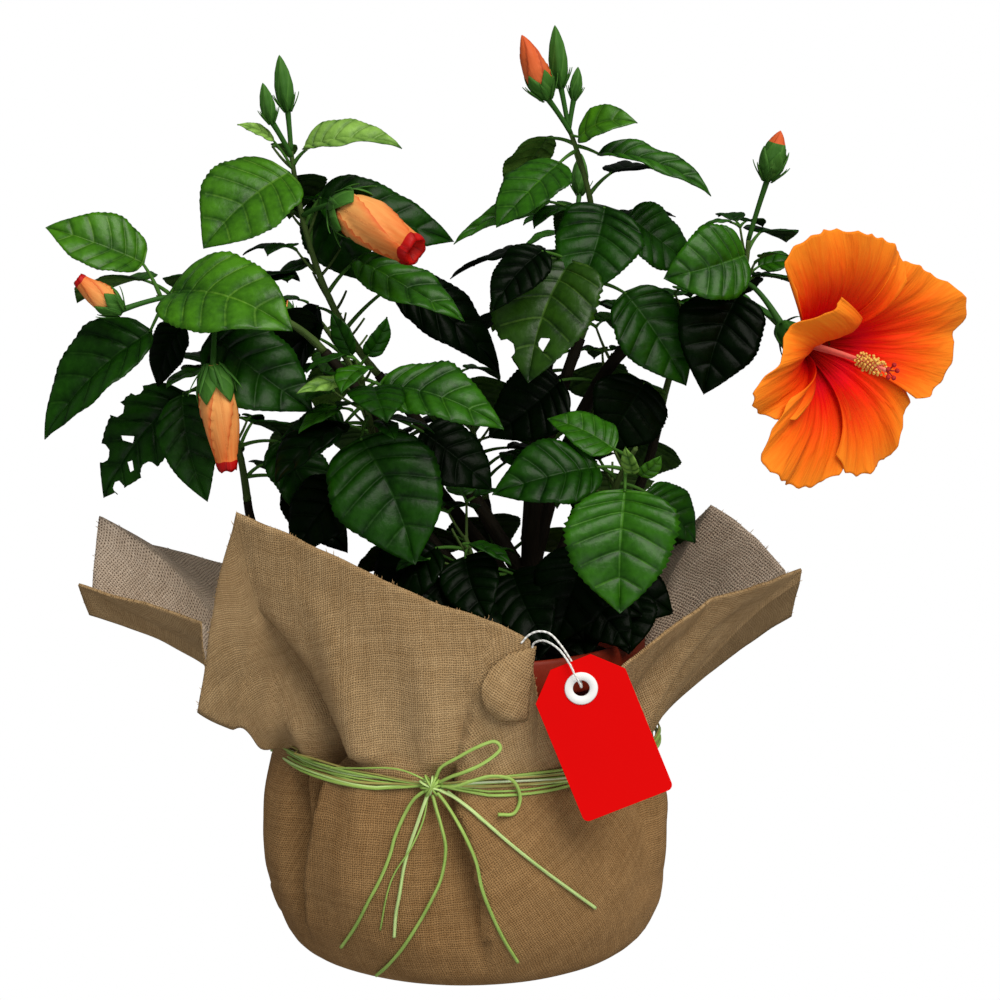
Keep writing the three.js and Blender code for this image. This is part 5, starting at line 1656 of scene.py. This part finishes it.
def buds():
    """All buds: petals in one piece, and their sepals, bracts and stalks in another."""
    petals, greens = Shape(), Shape()
    for name, mass in MASSES.items():
        for row in mass["buds"]:
            foot, radius, ripe = Vector(row["foot"]), row["radius"], row["ripe"]
            stance = stand(foot, Vector(row["tip"]), Vector(BUD_UP))
            long, axis, up, across = stance
            bud_body(petals, foot, stance, radius, ripe)
            root = bend(twig_path(name), row["at"])
            middle = (root + foot) / 2 + Vector((0, 0, 1.5))
            stalk = bend_line([root * MM, middle * MM, (foot + axis) * MM], 10)
            tube(greens, stalk, [(1.1 + 0.35 * (step / 10) ** 3) * MM for step in range(11)], 10)
            cover = float(np.interp(ripe, *zip(*SEPAL_COVER)))
            for angle in angles(5, 0.4) if ripe >= BUD_COLORS else []:
                out = spoke(across, up, angle)
                bud_leaf(greens, foot + out * radius * 0.42, out, axis, long * cover, radius * 1.35,
                         radius * 0.62)
            for angle in angles(7):
                out = spoke(across, up, angle)
                bud_leaf(greens, foot + out * radius * 0.4 - axis, out, axis, long * 0.2 + 4,
                         radius * 0.16 + 0.6, radius * 0.5, radius * 0.55)
    settle(petals.make("bud_petals", bud_petal, bud_end, bud_green, bud_brown), "bloom")
    piece = modify(greens.make("bud_sepals", bud_green), "SOLIDIFY", thickness=0.4 * MM, offset=0)
    settle(piece, "foliage")


buds()
twig_finish = bark_finish("twig_bark", (40, 58, 26), (84, 106, 52), 900)
petiole_finish = bark_finish("petiole_green", (44, 80, 26), (76, 118, 46), 700)
settle(twig_shape.make("twigs", twig_finish), "foliage")
settle(petiole_shape.make("petioles", petiole_finish), "foliage")

# Bloom
BLOOM = dict(root=(145, -8, 352), calyx=(162, -20, 330), throat=(170, -34, 324), faces=(0.6, -0.79, -0.08),
             radius=67, depth=44)
# Petals: direction at the throat, depth of the ridges, then directions and reaches of the rim. One is bowed
# and one has a hood
CUP = [(-2, 2.2), (2, 5.5), (8, 7.2), (14, 8.2), (20, 8.8)]
ANTHERS = 110
PETAL_FOOT = 48
THROAT_RADIUS = 2.5
PETALS = [
    dict(middle=84, ridge=0.3, bowed=True, rim=[
        (38, 60), (41, 75), (47, 77), (60, 74), (76, 66), (92, 61), (108, 58), (118, 54), (124, 46)]),
    dict(middle=156, ridge=0.4, rim=[
        (112, 48), (124, 56), (141, 62), (156, 73), (166, 76), (170, 74), (173, 69), (185, 67), (195, 62),
        (205, 54), (212, 44)]),
    dict(middle=228, ridge=0.5, rim=[
        (200, 40), (214, 46), (224, 48), (235, 55), (241, 62), (250, 60), (267, 61), (277, 58), (284, 50)]),
    dict(middle=300, ridge=0.6, rim=[
        (270, 48), (280, 60), (291, 69), (299, 73), (313, 77), (322, 79), (327, 72), (333, 62), (340, 50)]),
    dict(middle=372, ridge=0.3, hood=True, rim=[
        (326, 50), (333, 60), (338, 66), (345, 73), (350, 73), (355, 66), (362, 56), (370, 50), (390, 52)]),
]


def petal_finish():
    """Orange, redder towards the throat, dark red in it, with branching veins along the petal."""
    finish = Finish("bloom_petal", 0.7, Specular_IOR_Level=0.08)
    across, along, _ = finish.parts(finish.place("UV"))
    wander = finish.noise(3.0, 2.0, finish.place("UV")) - 0.5
    veins = ((across * 64 + wander * 9 + along * 2).wave() * 0.5 + 0.5) ** 3
    fine = finish.noise(1.0, 3.0, finish.scaled((70, 4, 1), "UV"))
    mottled = finish.noise(60.0, 3.0)
    warm = finish.ramp((along + (fine - 0.5) * 0.34 + (mottled - 0.5) * 0.1).clamp(),
                       (0.0, linear(112, 0, 6)), (0.14, linear(168, 0, 8)), (0.24, linear(222, 6, 34)),
                       (0.34, linear(230, 26, 10)), (0.5, linear(228, 62, 12)), (0.72, linear(232, 98, 20)),
                       (1.0, linear(240, 134, 36)))
    streak = (veins * 0.3 * (1.1 - along) + fine * 0.1).clamp()
    color = finish.mix(streak, warm, linear(222, 34, 8))
    return finish.wear(color, None, veins * 0.6 + fine, 0.5, 0.0012)


def bloom_axes():
    faces = Vector(BLOOM["faces"]).normalized()
    right = -Vector((0, 0, 1)).cross(faces).normalized()
    return right, right.cross(faces).normalized(), faces


def hooded(share, place, right, upward, faces):
    """How far the side petal's upper half is rolled over, with a raised lip."""
    over = faces * 0.6 - right * 0.66 - upward * 0.02
    roll = min(1.0, max(0.0, (place - 0.22) / 0.7))
    roll = roll ** 2 * (3 - 2 * roll)
    lip = max(0.0, share - 0.6) / 0.4
    raised = min(1.0, max(0.0, (place - 0.12) / 0.3))
    push = over * (23 * min(1.0, share / 0.7) ** 1.3 * roll)
    return push + upward * (9 * lip * raised) - over * (3 * lip ** 2 * raised)


def petal_spot(number, petal, share, place):
    """A place on a petal, from 0 to 1 along it and -1 to 1 across."""
    right, upward, faces = bloom_axes()
    rim = np.array(petal["rim"], dtype=float)
    first, last = rim[0, 0], rim[-1, 0]
    rim_angle = (first + last) / 2 + (last - first) / 2 * place
    angle = (petal["middle"] + PETAL_FOOT * place) * (1 - share ** 0.5) + rim_angle * share ** 0.5
    reach = float(np.interp(rim_angle, rim[:, 0], rim[:, 1]))
    reach *= 1 - 0.02 * abs(sin(17 * place + number))
    radius = THROAT_RADIUS + (reach - THROAT_RADIUS) * share
    height = (1 - (1 - share) ** 2.7) * BLOOM["depth"]
    lap = 2.2 * place * (0.4 + 0.6 * share)
    waves = 0.65 * sin(6.5 * place + number * 2.1) + 0.5 * sin(12 * place + number * 1.3 + 1)
    ruffle = 3.2 * share ** 3 * waves
    ridge = petal["ridge"] * share * sin(24 * place + 2.0 * sin(3 * share + number))
    out = spoke(right, upward, radians(angle)) * radius
    spot = Vector(BLOOM["throat"]) + out + faces * (height + lap + ruffle + ridge)
    if petal.get("hood"):
        spot += hooded(share, place, right, upward, faces)
    if petal.get("bowed"):
        spot += right * (9 * sin(pi * share) * max(0.0, -place) ** 2)
    return spot


def bloom_petals():
    """Each petal starts wide in the throat, so that no light shows between two, and ends at its own rim."""
    shape = Shape()
    rows, columns = 48, 64
    for number, petal in enumerate(PETALS):
        corners, flat = [], []
        for row in range(rows + 1):
            for column in range(columns + 1):
                share, place = row / rows, column / columns * 2 - 1
                corners.append(petal_spot(number, petal, share, place) * MM)
                flat.append((place * 0.5 + 0.5 + number, share))
        shape.add(corners, grid(rows + 1, columns + 1), 0, flat)
    return modify(shape.make("bloom_petals", petal_finish()), "SOLIDIFY", thickness=0.6 * MM, offset=0)


def grained(name, roughness, dark, light, grain, fine):
    """A finish between two colours, with finer grains in its relief."""
    finish = Finish(name, roughness)
    color = finish.mix(finish.noise(grain), linear(*dark), linear(*light))
    return finish.wear(color, None, finish.noise(fine) if fine else None, 0.8)


def bloom_column():
    """The column of stamens, with anthers on short filaments and five stigmas at its end."""
    right, upward, faces = bloom_axes()
    throat = Vector(BLOOM["throat"])
    end = throat + faces * 58 + Vector((3, 0, -4))
    finishes = [
        grained("bloom_column", 0.5, (232, 84, 78), (246, 150, 128), 120.0, None),
        grained("bloom_anther", 0.8, (226, 160, 60), (246, 208, 110), 900.0, 1500.0),
        grained("bloom_stigma", 0.7, (150, 10, 16), (206, 30, 28), 700.0, 1200.0),
    ]
    shape = Shape()
    start = throat + faces * 3
    path = [start, (start + end) / 2 + Vector((0, 0, 1.5)), end]
    tube(shape, [spot * MM for spot in bend_line(path, 30)], taper(2.0, 0.9, 30), 14)
    draw = Draw(211)
    along = (end - start).normalized()
    for number in range(ANTHERS):
        spot = bend(path, 0.66 + 0.27 * number / ANTHERS)
        out = (spoke(right, upward, 2.4 * number) + along * 0.35).normalized()
        tip = spot + out * (2.2 + 2.6 * draw())
        tube(shape, [spot * MM, (spot + tip) / 2 * MM, tip * MM], 0.2 * MM, 5)
        ball(shape, tip * MM, (0.62 + 0.25 * draw()) * MM, 1)
    for angle in angles(5, 0.5):
        out = (spoke(right, upward, angle) + along * 1.1).normalized()
        tip = end + out * 5.2
        tube(shape, [end * MM, (end + out * 2.4 + along * 0.6) * MM, tip * MM], 0.4 * MM, 6, 2)
        ball(shape, tip * MM, 1.25 * MM, 2)
    return shape.make("bloom_column", *finishes)


def ball(shape, middle, radius, slot, rings=6, sides=8):
    corners = []
    for ring in range(1, rings):
        tilt = pi * ring / rings
        corners += [middle + Vector((sin(tilt) * cos(angle), sin(tilt) * sin(angle), cos(tilt))) * radius
                    for angle in angles(sides)]
    corners += [middle + Vector((0, 0, radius)), middle - Vector((0, 0, radius))]
    top, low = len(corners) - 2, len(corners) - 1
    faces = [(a, d, c, b) for a, b, c, d in grid(rings - 1, sides, closed=True)]
    last = (rings - 2) * sides
    for side in range(sides):
        faces += [(top, side, (side + 1) % sides), (low, last + (side + 1) % sides, last + side)]
    shape.add(corners, faces, slot)


def bloom_calyx():
    """The bloom's stalk, the cup that holds it, and the sepals and bracts round that."""
    right, upward, faces = bloom_axes()
    calyx, throat = Vector(BLOOM["calyx"]), Vector(BLOOM["throat"])
    shape = Shape()
    stalk = bend_line([Vector(BLOOM["root"]) * MM, mm(152, -12, 350), (calyx + faces * 2) * MM], 16)
    tube(shape, stalk, [(1.3 + 0.9 * (step / 16) ** 3) * MM for step in range(17)], 12)
    axis = (throat - calyx).normalized()
    line, radii = zip(*[((calyx + axis * place) * MM, radius * MM) for place, radius in CUP])
    tube(shape, line, radii, 20)
    for angle in angles(5, 0.2):
        out = spoke(right, upward, angle)
        bud_leaf(shape, calyx + axis * 10 + out * 6.5, out, axis, 22, 12, 5)
    for angle in angles(7):
        out = spoke(right, upward, angle)
        bud_leaf(shape, calyx + axis * 2 + out * 4, out, axis, 16, 2.4, 8)
    return shape.make("bloom_calyx", bud_green)


settle(bloom_petals(), "bloom", "bloom")
settle(bloom_column(), "bloom", "bloom")
settle(bloom_calyx(), "foliage", "bloom")


# Light and world
def light(kind, place, aim, power, color=(1, 1, 1), **settings):
    """A lamp at its place, which shines along its aim."""
    bpy.ops.object.light_add(type=kind, location=place)
    lamp = bpy.context.object
    lamp.data.energy = power
    lamp.data.color = color
    for name, value in settings.items():
        setattr(lamp.data, name, value)
    lamp.rotation_euler = Vector(aim).to_track_quat("-Z", "Y").to_euler()


def studio():
    """A white surround as the camera sees it, which lights the plant much less than it shows."""
    world = bpy.data.worlds.new("studio")
    bpy.context.scene.world = world
    world.use_nodes = True
    nodes, links = world.node_tree.nodes, world.node_tree.links
    path = nodes.new("ShaderNodeLightPath")
    seen = nodes["Background"]
    seen.inputs["Color"].default_value = (1, 1, 1, 1)
    shares = nodes.new("ShaderNodeMix")
    shares.inputs["A"].default_value = WORLD_LIGHT
    shares.inputs["B"].default_value = WORLD_GLOSS
    links.new(path.outputs["Is Glossy Ray"], shares.inputs["Factor"])
    shown = nodes.new("ShaderNodeMix")
    shown.inputs["B"].default_value = 1.0
    links.new(path.outputs["Is Camera Ray"], shown.inputs["Factor"])
    links.new(shares.outputs["Result"], shown.inputs["A"])
    links.new(shown.outputs["Result"], seen.inputs["Strength"])


studio()
light("SUN", (0, 0, 2), (-0.4, 0.62, -0.95), 3.1, (1, 0.97, 0.9), angle=radians(44))
light("AREA", (0.3, -1.9, -0.35), (-0.3, 1.9, 0.6), 6, size=1.2)
bpy.context.scene.view_settings.view_transform = "Standard"
